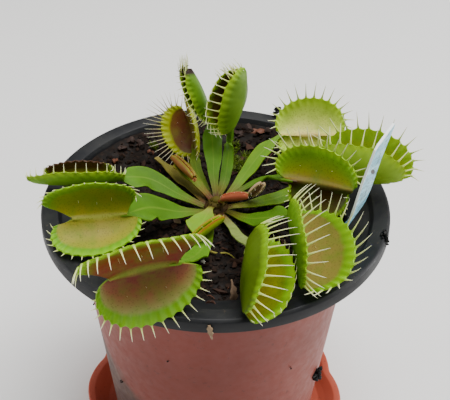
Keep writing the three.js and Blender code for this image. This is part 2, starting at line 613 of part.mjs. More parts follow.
const leaves = [
  {
    ...mature, name: 'leaf_front_left', azimuth: 256, cells: 9, wide: 5.5, widest: 0.62,
    via: [[-2, -13, -4.3], [-3.8, -22, -1.6]], neck: [-7.6, -38.1, 10], tip: [-21.1, -43.4, 10],
    lobes: [
      { rise: [0, -4.8, 12.2], width: 26, sag: 1.5, skew: 0.22, lean: 60, spines: 5 },
      { rise: [0, -5.8, -10.2], width: 23, slip: -1.4, lean: 25, spines: 3.5 },
    ],
  },
  {
    ...mature, name: 'leaf_left_open', azimuth: 219, wide: 8.5, widest: 0.78, narrow: 0.95,
    up: [0, -0.45, 0.85],
    via: [[-9, -5, -2.5], [-16.5, -9, 1.8]], neck: [-21.3, -15.5, 5], tip: [-33.8, -18.5, 5.5],
    lobes: [
      { rise: [0.5, 0.5, 10], width: 21.5, slip: 2.4, sag: 1.2, lean: 30, spines: 3 },
      { rise: [-0.7, -9.2, -4.7], width: 21, slip: 0.3, lean: 20, spines: 2.5 },
    ],
  },
  {
    ...mature, name: 'leaf_left_closed', azimuth: 177, wide: 6.5, widest: 0.8, narrow: 0.95,
    up: [0, -0.4, 0.9],
    via: [[-10, 2.5, -2.5], [-18, 4.5, 1]], neck: [-24.5, 1.5, 3.5], tip: [-46.5, 0, 3],
    lobes: [
      { rise: [0, 1.9, 4.6], width: 17.5, slip: 0.5, sag: 0.9, lean: 60, spines: 2.2 },
      { rise: [0, -3.2, 3.6], width: 25, slip: 0.8, sag: 1.2, lean: 60, spines: 2.4 },
    ],
  },
  {
    ...mature, name: 'leaf_front_middle', azimuth: 290, cells: 9, wide: 3,
    via: [[4, -9.5, -3.2], [6, -17, -0.5]], neck: [8, -25, 3.5], tip: [7, -45.4, 3.5],
    lobes: [
      { rise: [3.6, 0, 9.8], width: 25, lean: 30, spines: 6.5 },
      { rise: [10.4, -1, 2.4], width: 26, slip: 0.8, lean: 60, spines: 2 },
    ],
  },
  {
    ...mature, name: 'leaf_front_right', keel: 0.3, belly: 0.7, azimuth: 324, cells: 9, wide: 7,
    up: [0.3, -0.3, 0.9],
    via: [[8, -6.5, -3], [13, -10, 0]], neck: [18.2, -14, 4], tip: [19.4, -36.8, 3],
    lobes: [
      { rise: [0, -4, 11], width: 27, lean: 30, spines: 6.5 },
      { rise: [12.6, -3.4, 6], width: 26, slip: 0.8, lean: 25, spines: 6 },
    ],
  },
  {
    ...mature, name: 'leaf_far_right', azimuth: 358, wide: 5, widest: 0.45, narrow: 0.8,
    via: [[10, 0.5, -3.5], [19, 3, -2]], neck: [28, 5.5, 4.5], tip: [44.5, -1, 6],
    lobes: [
      { rise: [-1, -1, 9.5], width: 25, lean: 20, spines: 5.5 },
      { rise: [2, 6.8, 10.2], width: 25, slip: 1.6, lean: 15, spines: 5.5 },
    ],
  },
  {
    ...mature, name: 'leaf_right', azimuth: 33, tier: 'middle', cells: 9, wide: 3, wideOpen: true,
    via: [[7, 5, -2], [13, 5.5, 1.5]], neck: [17.4, -4.7, 8.5], tip: [33.2, -10.5, 9.5],
    lobes: [
      { rise: [-0.5, 5.6, 7.7], width: 20.6, slip: -0.5, lean: 10, spines: 6 },
      { rise: [-0.4, -2.7, -8.5], width: 14.8, slip: 0.2, lean: 40, spines: 3.2 },
    ],
  },
  {
    ...mature, name: 'leaf_back_right', azimuth: 52, wide: 5, wideOpen: true,
    via: [[6.5, 9, -2], [11.5, 14.5, 2.5]], neck: [17.6, 18.5, 7], tip: [33.4, 17.5, 8],
    lobes: [
      { rise: [0, 6.3, 8.2], width: 19, lean: 10, spines: 5 },
      { rise: [0, -3, -6], width: 17, lean: 10, spines: 4.5 },
    ],
  },
  {
    ...mature, name: 'leaf_back_middle', azimuth: 86, wide: 3.2, widest: 0.4, keel: 2.4, belly: 2,
    via: [[2.1, 10, -2.9], [3.2, 17, 4]], neck: [3.9, 15.8, 12.5], tip: [6.4, 17, 26.2],
    lobes: [
      { rise: [-4, -6.5, 1], width: 19, lean: 45, spines: 4 },
      { rise: [-8, -3, 1], width: 17.5, lean: 45, spines: 4 },
    ],
  },
  {
    ...mature, name: 'leaf_back_tall', azimuth: 94, tier: 'middle', wide: 5.4, up: [0, -1, 0.4], belly: 1,
    via: [[-0.9, 8, 0], [-1.3, 13.5, 5]], neck: [-2.4, 18.5, 12.5], tip: [-7.6, 18.5, 26.6],
    lobes: [
      { rise: [-1.4, -5.4, 1], width: 16, lean: 20, spines: 3 },
      { rise: [-4.2, -3.2, 1.5], width: 16, lean: 20, spines: 3 },
    ],
  },
  {
    ...mature, name: 'leaf_back_left', azimuth: 114, wide: 3, cells: 7, belly: 0.9,
    via: [[-3.4, 8, -3.7], [-6, 14.5, -2]], neck: [-7, 21.8, -0.2], tip: [-9.3, 28.3, 7.2],
    lobes: [
      { rise: [-8, -1, -0.2], width: 15, slip: 0.4, lean: 15, spines: 5 },
      { rise: [2, -4, 4.2], width: 17, slip: 1, lean: 0, spines: 3 },
    ],
  },
  {
    ...young, name: 'young_leaf_front', azimuth: 240, tier: 'middle', wide: 8, widest: 0.6, folded: true,
    via: [[-3.2, -9, -2.5]], neck: [-5, -16.5, -2], tip: [1.2, -12.8, 1],
    lobes: [
      { rise: [0.7, -0.7, 2.3], width: 9.5, sag: 0.8, lean: 50, spines: 0.8 },
      { rise: [-0.8, 0.4, 2.3], width: 9.5, sag: 0.8, lean: 50, spines: 0.8 },
    ],
  },
  {
    ...young, name: 'young_leaf_back', colour: 'redLeaf', azimuth: 132, tier: 'middle', wide: 4.6,
    widest: 0.75, folded: true,
    via: [[-6.8, 8, -0.8]], neck: [-12.9, 16.4, 0.1], tip: [-5.8, 3.4, 1.8],
    lobes: [
      { rise: [0.7, 0.45, 2.2], width: 13.5, sag: 0.8, lean: 50, spines: 0.6 },
      { rise: [-0.7, -0.35, 2.2], width: 13.5, sag: 0.8, lean: 50, spines: 0.6 },
    ],
  },
  {
    ...young, name: 'young_leaf_right', colour: 'redLeaf', azimuth: 14, wide: 1.6,
    via: [[5.6, 1.6, -1.4]], neck: [9.4, 1.6, -1], tip: [11.6, 0.4, 3.2],
    lobes: [
      { rise: [1.4, -1.4, 0.4], width: 6.5, lean: 50, spines: 1.2 },
      { rise: [-1.6, -1.2, 0.6], width: 6.5, lean: 50, spines: 1.2 },
    ],
  },
  {
    ...young, name: 'curled_bud', colour: 'redLeaf', azimuth: 320, wide: 1.6, folded: true,
    via: [[1.6, -1.9, -0.8]], neck: [1.8, -2.6, 0.2], tip: [7.6, -2.6, 0.9],
    lobes: [
      { rise: [0.2, 0.6, 1.7], width: 6.8, sag: 0.8, lean: 50, spines: 0.5 },
      { rise: [0.2, -0.7, 1.7], width: 6.8, sag: 0.8, lean: 50, spines: 0.5 },
    ],
  },
  {
    ...young, name: 'spoon_leaf', azimuth: 150, tier: 'low', wide: 4.6, widest: 0.62,
    via: [[-7.5, 9.5, -4.5], [-13.2, 16.5, -4.3]], neck: [-18, 20.8, -3],
  },
];

// The whole plant and its pots

const group = new THREE.Group();
group.add(makeSaucer());
group.add(makeOuterPot());
group.add(makeNurseryPot());
group.add(makeSoil());
group.add(toMesh('plant_label', labelSolid(0), material(colours.label, 0.5)));
group.add(makeCrown());
for (const leaf of leaves) group.add(makeLeaf(leaf));

export default group;
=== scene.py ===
# %% [markdown]
# # A potted Venus flytrap
#
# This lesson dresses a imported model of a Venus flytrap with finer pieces. The plant has eleven grown
# leaves and five young ones. It grows in peat, in a black nursery pot, and that pot stands inside a
# brick-coloured pot on a scalloped saucer.
#
# Every length below is in millimetres, because that is how a maker would measure such a small thing. A
# piece is scaled to Blender's metres when it is finished.

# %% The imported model
import math
import random

import bmesh
import bpy
from mathutils import Matrix, Vector, noise


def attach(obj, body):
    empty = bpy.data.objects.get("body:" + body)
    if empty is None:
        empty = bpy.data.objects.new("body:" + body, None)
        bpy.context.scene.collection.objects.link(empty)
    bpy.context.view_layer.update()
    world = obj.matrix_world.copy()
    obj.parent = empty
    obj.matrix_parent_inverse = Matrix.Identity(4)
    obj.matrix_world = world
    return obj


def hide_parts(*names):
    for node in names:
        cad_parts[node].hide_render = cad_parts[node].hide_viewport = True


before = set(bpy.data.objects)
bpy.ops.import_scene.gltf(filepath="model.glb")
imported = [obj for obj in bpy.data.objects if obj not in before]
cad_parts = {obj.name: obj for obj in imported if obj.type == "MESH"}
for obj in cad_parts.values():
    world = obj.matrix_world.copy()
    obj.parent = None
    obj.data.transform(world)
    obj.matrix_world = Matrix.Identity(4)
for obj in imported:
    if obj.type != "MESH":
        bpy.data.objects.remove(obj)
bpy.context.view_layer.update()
METRES = 0.001
print("nodes:", len(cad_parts))

# %% [markdown]
# ## The camera
#
# The camera could be placed by eye, but this one is measured. It looks down on the plant at a bit over
# 37 degrees, from a short distance, so that the front of the pot comes out clearly larger than the back.
# It aims near the nursery pot's ridge, which is the highest line of its rim, and it is rolled by about
# one degree.

# %% Camera
RIDGE = 88.0


def place_camera(elevation=37.3, distance=184.93, roll=1.27, aside=2.29, raised=-1.55, lens=56.0):
    tilt = math.radians(elevation)
    turn = math.radians(roll)
    right = Vector((1, 0, 0))
    up = Vector((0, math.sin(tilt), math.cos(tilt)))
    back = Vector((0, -math.cos(tilt), math.sin(tilt)))
    spot = back * distance + right * aside + up * raised + Vector((0, 0, RIDGE))
    rolled_right = math.cos(turn) * right + math.sin(turn) * up
    rolled_up = -math.sin(turn) * right + math.cos(turn) * up
    data = bpy.data.cameras.new("camera")
    data.sensor_width = 36.0
    data.lens = lens
    data.clip_start = 0.005
    camera = bpy.data.objects.new("camera", data)
    bpy.context.scene.collection.objects.link(camera)
    axes = Matrix((rolled_right, rolled_up, back)).transposed()
    camera.matrix_world = Matrix.Translation(spot * METRES) @ axes.to_4x4()
    bpy.context.scene.camera = camera
    return camera


camera = place_camera()
print("camera stands at", [round(c, 3) for c in camera.location])

# %% [markdown]
# ## Finishing a piece
#
# Every piece ends the same way: its bmesh is scaled to metres and becomes an object at the origin, which
# rides on the model's one body. If it is a finer form of a plain solid, it takes that solid's place.
# Smooth shading is kept from rounding off real edges by marking the sharp ones.

# %% Piece helper
ATTRIBUTES = ("along", "reach", "inner", "far", "stalk", "spine", "dead", "tone")
made = []


def new_mesh(attributes=ATTRIBUTES):
    """An empty bmesh with a number on each vertex for every attribute."""
    bm = bmesh.new()
    for name in attributes:
        bm.verts.layers.float.new(name)
    return bm


def finish(bm, name, material, node=None, sharp=40.0):
    bmesh.ops.scale(bm, vec=(METRES,) * 3, verts=bm.verts)
    for face in bm.faces:
        face.smooth = True
    for edge in bm.edges:
        if len(edge.link_faces) == 2:
            edge.smooth = edge.calc_face_angle(0.0) < math.radians(sharp)
    mesh = bpy.data.meshes.new(name)
    bm.to_mesh(mesh)
    bm.free()
    mesh.materials.append(material)
    piece = bpy.data.objects.new(name, mesh)
    bpy.context.scene.collection.objects.link(piece)
    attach(piece, "root")
    if node:
        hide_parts(node)
    made.append(piece)
    print(f"{name}: {len(mesh.polygons)} faces")


# %% [markdown]
# ## Material helpers
#
# The finishes are built from nodes. Short helpers keep them readable: one adds a node and sets its
# inputs, others do sums, mix two colours, or make a colour ramp. Colours are written as they look on a
# screen and are turned into the linear values that the renderer works with.

# %% Node helpers


def linear(colour):
    channels = [int(colour[i : i + 2], 16) / 255 for i in (1, 3, 5)]
    return [c / 12.92 if c <= 0.04045 else ((c + 0.055) / 1.055) ** 2.4 for c in channels] + [1.0]


class Finish:
    """A material with its node tree and its main shader."""

    def __init__(self, name, roughness=0.5, specular=0.5):
        self.material = bpy.data.materials.new(name)
        self.material.use_nodes = True
        self.tree = self.material.node_tree
        self.shader = self.tree.nodes["Principled BSDF"]
        self.shader.inputs["Roughness"].default_value = roughness
        self.shader.inputs["Specular IOR Level"].default_value = specular

    def link(self, value, socket):
        if isinstance(value, bpy.types.NodeSocket):
            self.tree.links.new(value, socket)
        else:
            socket.default_value = value

    def node(self, kind, output=0, inputs=None, **settings):
        made_node = self.tree.nodes.new(kind)
        for key, value in settings.items():
            setattr(made_node, key, value)
        for key, value in (inputs or {}).items():
            self.link(value, made_node.inputs[key])
        return made_node.outputs[output]

    def math(self, operation, a, b=0.0, clamp=False):
        return self.node("ShaderNodeMath", inputs={0: a, 1: b}, operation=operation, use_clamp=clamp)

    def times(self, a, b):
        return self.math("MULTIPLY", a, b)

    def plus(self, a, b):
        return self.math("ADD", a, b)

    def minus(self, a, b):
        return self.math("SUBTRACT", a, b)

    def past(self, a, b, gain):
        """How far a lies past b, times the gain, kept between 0 and 1."""
        return self.math("MULTIPLY", self.minus(a, b), gain, clamp=True)

    def mix(self, factor, *colours):
        first, second = [linear(side) if isinstance(side, str) else side for side in colours]
        return self.node("ShaderNodeMix", 2, {0: factor, 6: first, 7: second}, data_type="RGBA")

    def ramp(self, factor, stops):
        made_node = self.tree.nodes.new("ShaderNodeValToRGB")
        self.link(factor, made_node.inputs[0])
        elements = made_node.color_ramp.elements
        while len(elements) < len(stops):
            elements.new(0.5)
        for element, (place, colour) in zip(elements, stops):
            element.position = place
            element.color = linear(colour) if isinstance(colour, str) else (colour,) * 3 + (1,)
        return made_node.outputs[0]

    def place(self):
        return self.node("ShaderNodeTexCoord", 3)

    def attribute(self, name):
        return self.node("ShaderNodeAttribute", 2, attribute_name=name)

    def noise(self, scale, detail=3.0, roughness=0.6, vector=None):
        inputs = {"Scale": scale, "Detail": detail, "Roughness": roughness}
        inputs["Vector"] = vector or self.place()
        return self.node("ShaderNodeTexNoise", 0, inputs)

    def specks(self, scale, limit):
        """Scattered spots, 1 inside them and 0 elsewhere."""
        return self.math("GREATER_THAN", self.noise(scale, 2, 0.5), limit)

    def bump(self, height, strength, distance):
        inputs = {"Height": height, "Strength": strength, "Distance": distance * METRES}
        self.link(self.node("ShaderNodeBump", 0, inputs), self.shader.inputs["Normal"])

    def colour(self, value):
        self.link(value, self.shader.inputs["Base Color"])

    def roughness(self, value):
        self.link(value, self.shader.inputs["Roughness"])


# %% [markdown]
# ## The pots and the saucer
#
# All three are turned shapes: the real ones come out of round moulds. A profile is drawn once as a few
# vertices and edges, its corners are bevelled, and bmesh spins it round the axis. This gives an even
# wall and a truly round rim, which extruding a circle step by step would also give, but with more steps.

# %% Turned shapes


def mixed(a, b, share):
    return a + (b - a) * share


def smoothstep(value, low, high):
    t = max(0.0, min(1.0, (value - low) / (high - low)))
    return t * t * (3 - 2 * t)


def around(angle, radius, height=0.0):
    """A point at an angle round the pot's axis."""
    return Vector((radius * math.cos(angle), radius * math.sin(angle), height))


def chain(bm, spots):
    """A row of vertices with edges between them."""
    row = [bm.verts.new(spot) for spot in spots]
    for a, b in zip(row, row[1:]):
        bm.edges.new((a, b))
    return row


def spin_round(bm, steps):
    bmesh.ops.spin(bm, geom=bm.edges[:] + bm.verts[:], cent=(0, 0, 0), axis=(0, 0, 1), steps=steps,
                   angle=2 * math.pi, use_merge=True)


def weld(bm, distance):
    """Merges vertices that lie within a distance, and turns all faces outward."""
    bmesh.ops.remove_doubles(bm, verts=bm.verts, dist=distance)
    bmesh.ops.recalc_face_normals(bm, faces=bm.faces)


def turned(profile, steps, corner, skip=()):
    """Spins a profile of radii and heights. Its corners are rounded, apart from those to skip."""
    bm = bmesh.new()
    row = chain(bm, [(radius, 0, height) for radius, height in profile])
    inner = [vert for i, vert in enumerate(row) if 0 < i < len(row) - 1 and i not in skip]
    bmesh.ops.bevel(bm, geom=inner, offset=corner, affect="VERTICES", segments=3, profile=0.5, material=-1)
    spin_round(bm, steps)
    weld(bm, 0.005)
    return bm


def drain_holes(bm, count, ring, radius, low, high):
    """Opens round holes in a floor by cutting its two faces and bridging between them."""
    for i in range(count):
        centre = around(2 * math.pi * i / count, ring)
        rims = []
        for height in (low, high):
            near = [
                face for face in bm.faces
                if abs(face.calc_center_median().z - height) < 0.05
                and (face.calc_center_median().xy - centre.xy).length < radius
            ]
            edges = {edge for face in near for edge in face.edges}
            rim = [edge for edge in edges if sum(face in near for face in edge.link_faces) == 1]
            rims.append((near, rim))
        for near, _ in rims:
            bmesh.ops.delete(bm, geom=near, context="FACES_KEEP_BOUNDARY")
        edges = [edge for _, rim in rims for edge in rim if edge.is_valid]
        bmesh.ops.bridge_loops(bm, edges=edges)
        for _, rim in rims:
            for vert in {v for edge in rim for v in edge.verts}:
                out = Vector((vert.co.x - centre.x, vert.co.y - centre.y, 0)).normalized()
                vert.co = Vector((centre.x, centre.y, vert.co.z)) + out * radius


# %% Pot sizes
GAP = 0.35
SAUCER_FLOOR = 1.6
SAUCER = {"height": 7, "lobes": 12, "kink": 12, "depth": 1.9, "softness": 0.006, "round_within": 32}
POT_FOOT = SAUCER_FLOOR + GAP
OUTER_POT = {"foot": 31.3, "top": 37.3, "wall": 1.1, "floor": 1.6, "hollow": 1, "rim": 39.6,
             "rim_top": RIDGE - 5.7, "rim_depth": 3.4}
NURSERY_FOOT = POT_FOOT + OUTER_POT["floor"] + GAP
NURSERY_WALL = 0.8
NURSERY_CLEARANCE = 0.55


def outer_radius(height):
    """The outer pot's wall, which widens from its foot to the level of the nursery pot's ridge."""
    return mixed(OUTER_POT["foot"], OUTER_POT["top"], (height - POT_FOOT) / (RIDGE - POT_FOOT))


def nursery_radius(height):
    return outer_radius(height) - OUTER_POT["wall"] - NURSERY_CLEARANCE


print("outer pot at its rim:", round(outer_radius(OUTER_POT["rim_top"]), 2))

# %% [markdown]
# The saucer's rim isn't round. It has twelve shallow lobes that meet in soft inward kinks, growing from
# nothing at its foot. The spun shape is pushed in and out by the same rule as the plain solid.

# %% Saucer shape


def saucer_shape():
    profile = [
        (0, 0), (15, 0), (31, 0), (33, 0), (35.4, 0.8), (38, 3.3), (40.54, 5.8), (41.5, 6.4), (41.02, 7),
        (39.1, 6.64), (37, 4), (35.24, 2.24), (33, SAUCER_FLOOR), (31, SAUCER_FLOOR), (15, SAUCER_FLOOR),
        (0, SAUCER_FLOOR),
    ]
    bm = turned(profile, 288, 0.25, skip=(1, 2, 13, 14))
    for vert in bm.verts:
        radius = vert.co.xy.length
        if radius < SAUCER["round_within"]:
            continue
        rise = min(1.0, max(0.0, vert.co.z / SAUCER["height"]))
        angle = math.atan2(vert.co.y, vert.co.x) - math.radians(SAUCER["kink"])
        wave = math.sqrt(math.sin(SAUCER["lobes"] / 2 * angle) ** 2 + SAUCER["softness"])
        scale = 1 + SAUCER["depth"] * (wave - 0.6) * rise / radius
        vert.co.x *= scale
        vert.co.y *= scale
    return bm


# %% [markdown]
# ## Moulded plastic
#
# The brick-coloured plastic isn't clean. It has a slight cloudiness and a dusty bloom that shows most
# where the wall turns away. The outer pot also has a dark patch on its front left. The patch is placed
# by the angle round the pot and by the height: its edge runs down the wall at a slant, so it is widest
# at the foot.

# %% Pot finishes
DARK_WEDGE = {"edge": -2.15, "height": 37, "slant": 43.0}


def brick_plastic(name, dull, fresh, dusty, roughness, dark_wedge=None):
    look = Finish(name, roughness, 0.25)
    look.shader.inputs["Sheen Weight"].default_value = 0.06
    look.shader.inputs["Sheen Roughness"].default_value = 0.6
    look.shader.inputs["Sheen Tint"].default_value = linear("#e8c8c0")
    cloud = look.noise(24, 4, 0.55)
    fine = look.noise(420, 3, 0.6)
    tone = look.ramp(cloud, [(0.3, dull), (0.5, fresh), (0.72, dusty)])
    speck = look.specks(900, 0.68)
    tone = look.mix(look.times(speck, 0.4), tone, "#3c1c14")
    # A dark patch on the front left of the wall, wider towards the foot.
    if dark_wedge:
        split = look.node("ShaderNodeSeparateXYZ", 0, {0: look.place()})
        source = split.node
        angle = look.math("ARCTAN2", source.outputs[1], source.outputs[0])
        lift = look.minus(source.outputs[2], dark_wedge["height"] * METRES)
        edge = look.minus(dark_wedge["edge"], look.times(lift, dark_wedge["slant"]))
        wobble = look.times(look.minus(look.noise(110, 5, 0.65), 0.5), 0.5)
        mask = look.past(look.plus(edge, wobble), angle, 5.0)
        behind = look.past(angle, -math.pi, 5.0)
        patch = look.times(mask, look.times(behind, 0.8))
        wedge_tone = look.ramp(look.noise(160, 4, 0.7), [(0.35, "#14100a"), (0.5, "#2c2418"), (0.65, "#4c3c2c")])
        tone = look.mix(patch, tone, wedge_tone)
    look.colour(tone)
    look.roughness(look.ramp(fine, [(0.3, roughness - 0.06), (0.7, roughness + 0.1)]))
    look.bump(fine, 0.25, 0.05)
    return look.material


saucer_plastic = brick_plastic("saucer plastic", "#a04432", "#ac4e38", "#b05c48", 0.5)
outer_plastic = brick_plastic("outer pot plastic", "#6a2719", "#782f21", "#843c2f", 0.45, DARK_WEDGE)
finish(saucer_shape(), "scalloped_saucer", saucer_plastic, "saucer")

# %% Outer pot


def outer_pot_shape():
    top, rim = OUTER_POT["rim_top"], OUTER_POT["rim"]
    under = top - OUTER_POT["rim_depth"]
    inside = POT_FOOT + OUTER_POT["floor"]
    hollow = POT_FOOT + OUTER_POT["hollow"]
    foot = outer_radius(POT_FOOT)
    wall = OUTER_POT["wall"]
    profile = [
        (0, hollow), (12, hollow), (24, hollow), (foot - 4, hollow), (foot - 3.4, POT_FOOT),
        (foot - 0.5, POT_FOOT), (outer_radius(hollow), hollow), (outer_radius(30), 30),
        (outer_radius(55), 55), (outer_radius(under), under), (rim, under + 0.6), (rim, top),
        (outer_radius(top) - wall, top), (outer_radius(inside) - wall, inside + wall),
        (outer_radius(inside) - 2 * wall, inside), (24, inside), (12, inside), (0, inside),
    ]
    bm = turned(profile, 180, 0.22, skip=(1, 2, 7, 8, 15, 16))
    drain_holes(bm, 5, 18, 3, hollow, inside)
    return bm


finish(outer_pot_shape(), "outer_flowerpot", outer_plastic, "outer_pot")

# %% [markdown]
# The nursery pot is thin black plastic with a flared rim and a ledge inside it. Its upward faces are
# painted a lighter grey in patches, partly dust and partly painted light on the tops, and its shine is
# broken by fine bumps.

# %% Nursery pot


def nursery_pot_shape():
    ledge = RIDGE - 2.7
    neck = ledge - 3.2
    outer = nursery_radius(neck)
    foot = nursery_radius(NURSERY_FOOT)
    wall = NURSERY_WALL
    low, floor = NURSERY_FOOT, NURSERY_FOOT + wall
    profile = [
        (0, low), (16, low), (27, low), (foot - wall, low), (foot, floor), (outer, neck),
        (outer + 0.48, neck + wall), (41, ledge - wall), (41.4, RIDGE - 1.6),
        (44.4, RIDGE - 1.1), (44.5, RIDGE - 3.4), (45.6, RIDGE - 3.4),
        (45.4, RIDGE - 0.6), (44.7, RIDGE), (41.1, RIDGE - 0.6), (40.4, ledge),
        (outer - 0.4, ledge - 1.6), (outer - wall, neck), (foot - wall, floor + 0.6),
        (foot - wall - 0.6, floor), (27, floor), (16, floor), (0, floor),
    ]
    bm = turned(profile, 200, 0.2, skip=(1, 2, 20, 21))
    drain_holes(bm, 6, 22, 2.5, low, floor)
    return bm


def black_plastic():
    look = Finish("black plastic", 0.5, 0.25)
    dust = look.noise(90, 5, 0.7)
    specks = look.specks(1300, 0.68)
    up = look.node("ShaderNodeSeparateXYZ", 2, {0: look.node("ShaderNodeNewGeometry", 1)})
    # Dust and painted light: faces that look up are painted a lighter grey in patches.
    dust_and_top_light = look.times(look.math("MAXIMUM", up, 0.0), look.ramp(dust, [(0.4, 0.0), (0.7, 0.7)]))
    tone = look.mix(dust_and_top_light, "#121316", "#2c2c2a")
    tone = look.mix(look.times(specks, look.times(dust_and_top_light, 0.9)), tone, "#5c4c3c")
    look.colour(tone)
    look.roughness(look.ramp(dust, [(0.3, 0.42), (0.7, 0.62)]))
    look.bump(look.noise(300, 3, 0.6), 0.2, 0.05)
    return look.material


finish(nursery_pot_shape(), "black_nursery_pot", black_plastic(), "nursery_pot")

# %% [markdown]
# ## The soil
#
# Peat breaks into crumbs, and a smooth disc with a bump map would look flat from the side. The ground is
# therefore a real surface that layered noise moves up and down, with some thousands of loose crumbs and
# bark chips on it. Behind the plant it is heaped up over the pot's ledge, and in front it lies lower.
#
# The heap rules out a plain turned profile. So a ladder is spun instead, a straight column with one rung
# for each row of the outline, and every vertex then moves to the outline that belongs to its angle.

# %% Soil outline
SOIL_TOP = RIDGE - 6.0
SOIL_CLEARANCE = 0.42
CROWN_HOLE = 3.65
HOLE_DEPTH = 8.35
BANK = {"start": 20, "full": 55, "easing": 165, "end": 200, "toe": 26, "rise": 2.7, "radius": 39.8,
        "under": -4.05, "slope": 0.286, "thickness": 0.8, "shoulder": 34.35}


def soil_radius(height):
    return nursery_radius(height) - NURSERY_WALL - SOIL_CLEARANCE


SOIL_EDGE = soil_radius(SOIL_TOP)


def banked(angle):
    """How far the soil is heaped up at an angle round the pot, from 0 to 1."""
    degrees = math.degrees(angle) % 360
    if degrees < BANK["full"]:
        return smoothstep(degrees, BANK["start"], BANK["full"])
    return 1 - smoothstep(degrees, BANK["easing"], BANK["end"])


def on_ledge(radius):
    return RIDGE + BANK["under"] + BANK["slope"] * (radius - SOIL_EDGE)


def bank_reach(share):
    """How high the heap stands, from 0 to 1, and how far out it goes."""
    return smoothstep(share, 0, 0.2), mixed(SOIL_EDGE, BANK["radius"], smoothstep(share, 0.3, 1))


def even_height(radius, share):
    """The top's height before it is roughened."""
    up, lip = bank_reach(share)
    if radius <= SOIL_EDGE:
        return SOIL_TOP + up * BANK["rise"] * smoothstep(radius, BANK["toe"], SOIL_EDGE)
    out = (radius - SOIL_EDGE) / max(0.01, lip - SOIL_EDGE)
    return mixed(SOIL_TOP + up * BANK["rise"], mixed(SOIL_TOP, on_ledge(lip) + BANK["thickness"], up), out)


def soil_lumps(x, y):
    """Height of the peat above its even level."""
    spot = Vector((x, y, 0.0))
    lumps = noise.fractal(spot * 0.16, 0.9, 2.1, 5) * 0.9 + noise.fractal(spot * 0.55, 0.8, 2.0, 4) * 0.35
    middle = 0.5 * max(0.0, 1 - spot.length / 8)
    return max(-1.1, min(1.0, lumps)) - middle


def soil_level(x, y):
    return even_height(math.hypot(x, y), banked(math.atan2(y, x))) + soil_lumps(x, y)


def on_soil(x, y, lift=0.0):
    return Vector((x, y, soil_level(x, y) + lift))


def soil_rows(share, rings=60, over=10):
    """One outline of the soil as (radius, height, roughness), from the crown's hole round to the foot."""
    up, lip = bank_reach(share)
    low = NURSERY_FOOT + NURSERY_WALL + GAP
    foot = soil_radius(low) - 0.6
    hole = SOIL_TOP - HOLE_DEPTH
    rows = [(0, hole, 0), (CROWN_HOLE, hole, 0), (CROWN_HOLE, SOIL_TOP - 1, 0)]
    for i in range(rings + 1):
        radius = mixed(CROWN_HOLE, SOIL_EDGE, i / rings)
        rows.append((radius, even_height(radius, share), 1))
    for i in range(1, over + 1):
        radius = mixed(SOIL_EDGE, lip, i / over)
        rows.append((radius, even_height(radius, share), mixed(1, 0.3, up * i / over)))
    rows.append((lip, mixed(SOIL_TOP - 0.2, on_ledge(lip), up), 1 - up))
    shoulder = mixed(SOIL_EDGE, BANK["shoulder"], up)
    rows.append((shoulder, mixed(SOIL_TOP - 0.4, on_ledge(shoulder), up), 1 - up))
    rows.append((soil_radius(SOIL_TOP - 2), SOIL_TOP - 2, 0))
    rows += [(foot + 0.6, low + 0.6, 0), (foot, low, 0), (0, low, 0)]
    return rows


print("soil rows:", len(soil_rows(1)))

# %% Soil shape


def soil_shape(steps=240):
    bm = new_mesh(("tone",))
    chain(bm, [(1, 0, i) for i in range(len(soil_rows(0)))])
    spin_round(bm, steps)
    outlines = {}
    for vert in bm.verts:
        angle = math.atan2(vert.co.y, vert.co.x)
        key = round(angle, 3)
        if key not in outlines:
            outlines[key] = soil_rows(banked(angle))
        radius, height, rough = outlines[key][round(vert.co.z)]
        x, y = radius * math.cos(angle), radius * math.sin(angle)
        vert.co = (x, y, height + rough * soil_lumps(x, y))
    weld(bm, 0.01)
    return bm


# %% [markdown]
# Each crumb is a small sphere of twenty faces with its corners pushed about. It is shaped by itself and
# then joined on, since an operator that runs on a big mesh looks at all of it every time. A crumb's own
# tone goes to the material through an attribute.

# %% Crumbs


def add_mesh(target, source):
    """Moves a small bmesh into a larger one."""
    holder = bpy.data.meshes.new("holder")
    source.to_mesh(holder)
    source.free()
    target.from_mesh(holder)
    bpy.data.meshes.remove(holder)


def round_crumb():
    bm = new_mesh(("tone",))
    bmesh.ops.create_icosphere(bm, subdivisions=1, radius=1)
    return bm


def add_crumb(target, template, spot, size, squash, tone, rng):
    bm = template.copy()
    layer = bm.verts.layers.float["tone"]
    turn = Matrix.Rotation(rng.uniform(0, 6.28), 3, "Z") @ Matrix.Rotation(rng.uniform(-0.6, 0.6), 3, "X")
    for vert in bm.verts:
        grown = vert.co * rng.uniform(0.7, 1.25) * size
        vert.co = turn @ Vector([side * share for side, share in zip(grown, squash)]) + spot
        vert[layer] = tone
    add_mesh(target, bm)


def lying_spot(rng, inner=5.0, outer=33.2):
    """A place on the soil. On the heap it may lie further out."""
    angle = rng.uniform(0, 2 * math.pi)
    reach = outer + bank_reach(banked(angle))[1] - SOIL_EDGE - 0.4
    distance = math.sqrt(rng.uniform(inner**2, reach**2))
    return on_soil(distance * math.cos(angle), distance * math.sin(angle))


def add_crumbs(bm, crumbs=2300, chips=90, seed=11):
    template = round_crumb()
    rng = random.Random(seed)
    for _ in range(crumbs):
        size = 0.3 + 0.75 * rng.random() ** 2.5
        spot = lying_spot(rng) + Vector((0, 0, size * 0.25))
        squash = (1, rng.uniform(0.6, 1), rng.uniform(0.5, 0.9))
        add_crumb(bm, template, spot, size, squash, rng.uniform(0.1, 0.75), rng)
    for _ in range(chips):
        size = rng.uniform(0.8, 1.9)
        spot = lying_spot(rng, 8, 32) + Vector((0, 0, size * 0.2))
        squash = (1.25, rng.uniform(0.5, 0.8), rng.uniform(0.3, 0.5))
        add_crumb(bm, template, spot, size, squash, rng.uniform(0.7, 1), rng)


# %% Peat finish


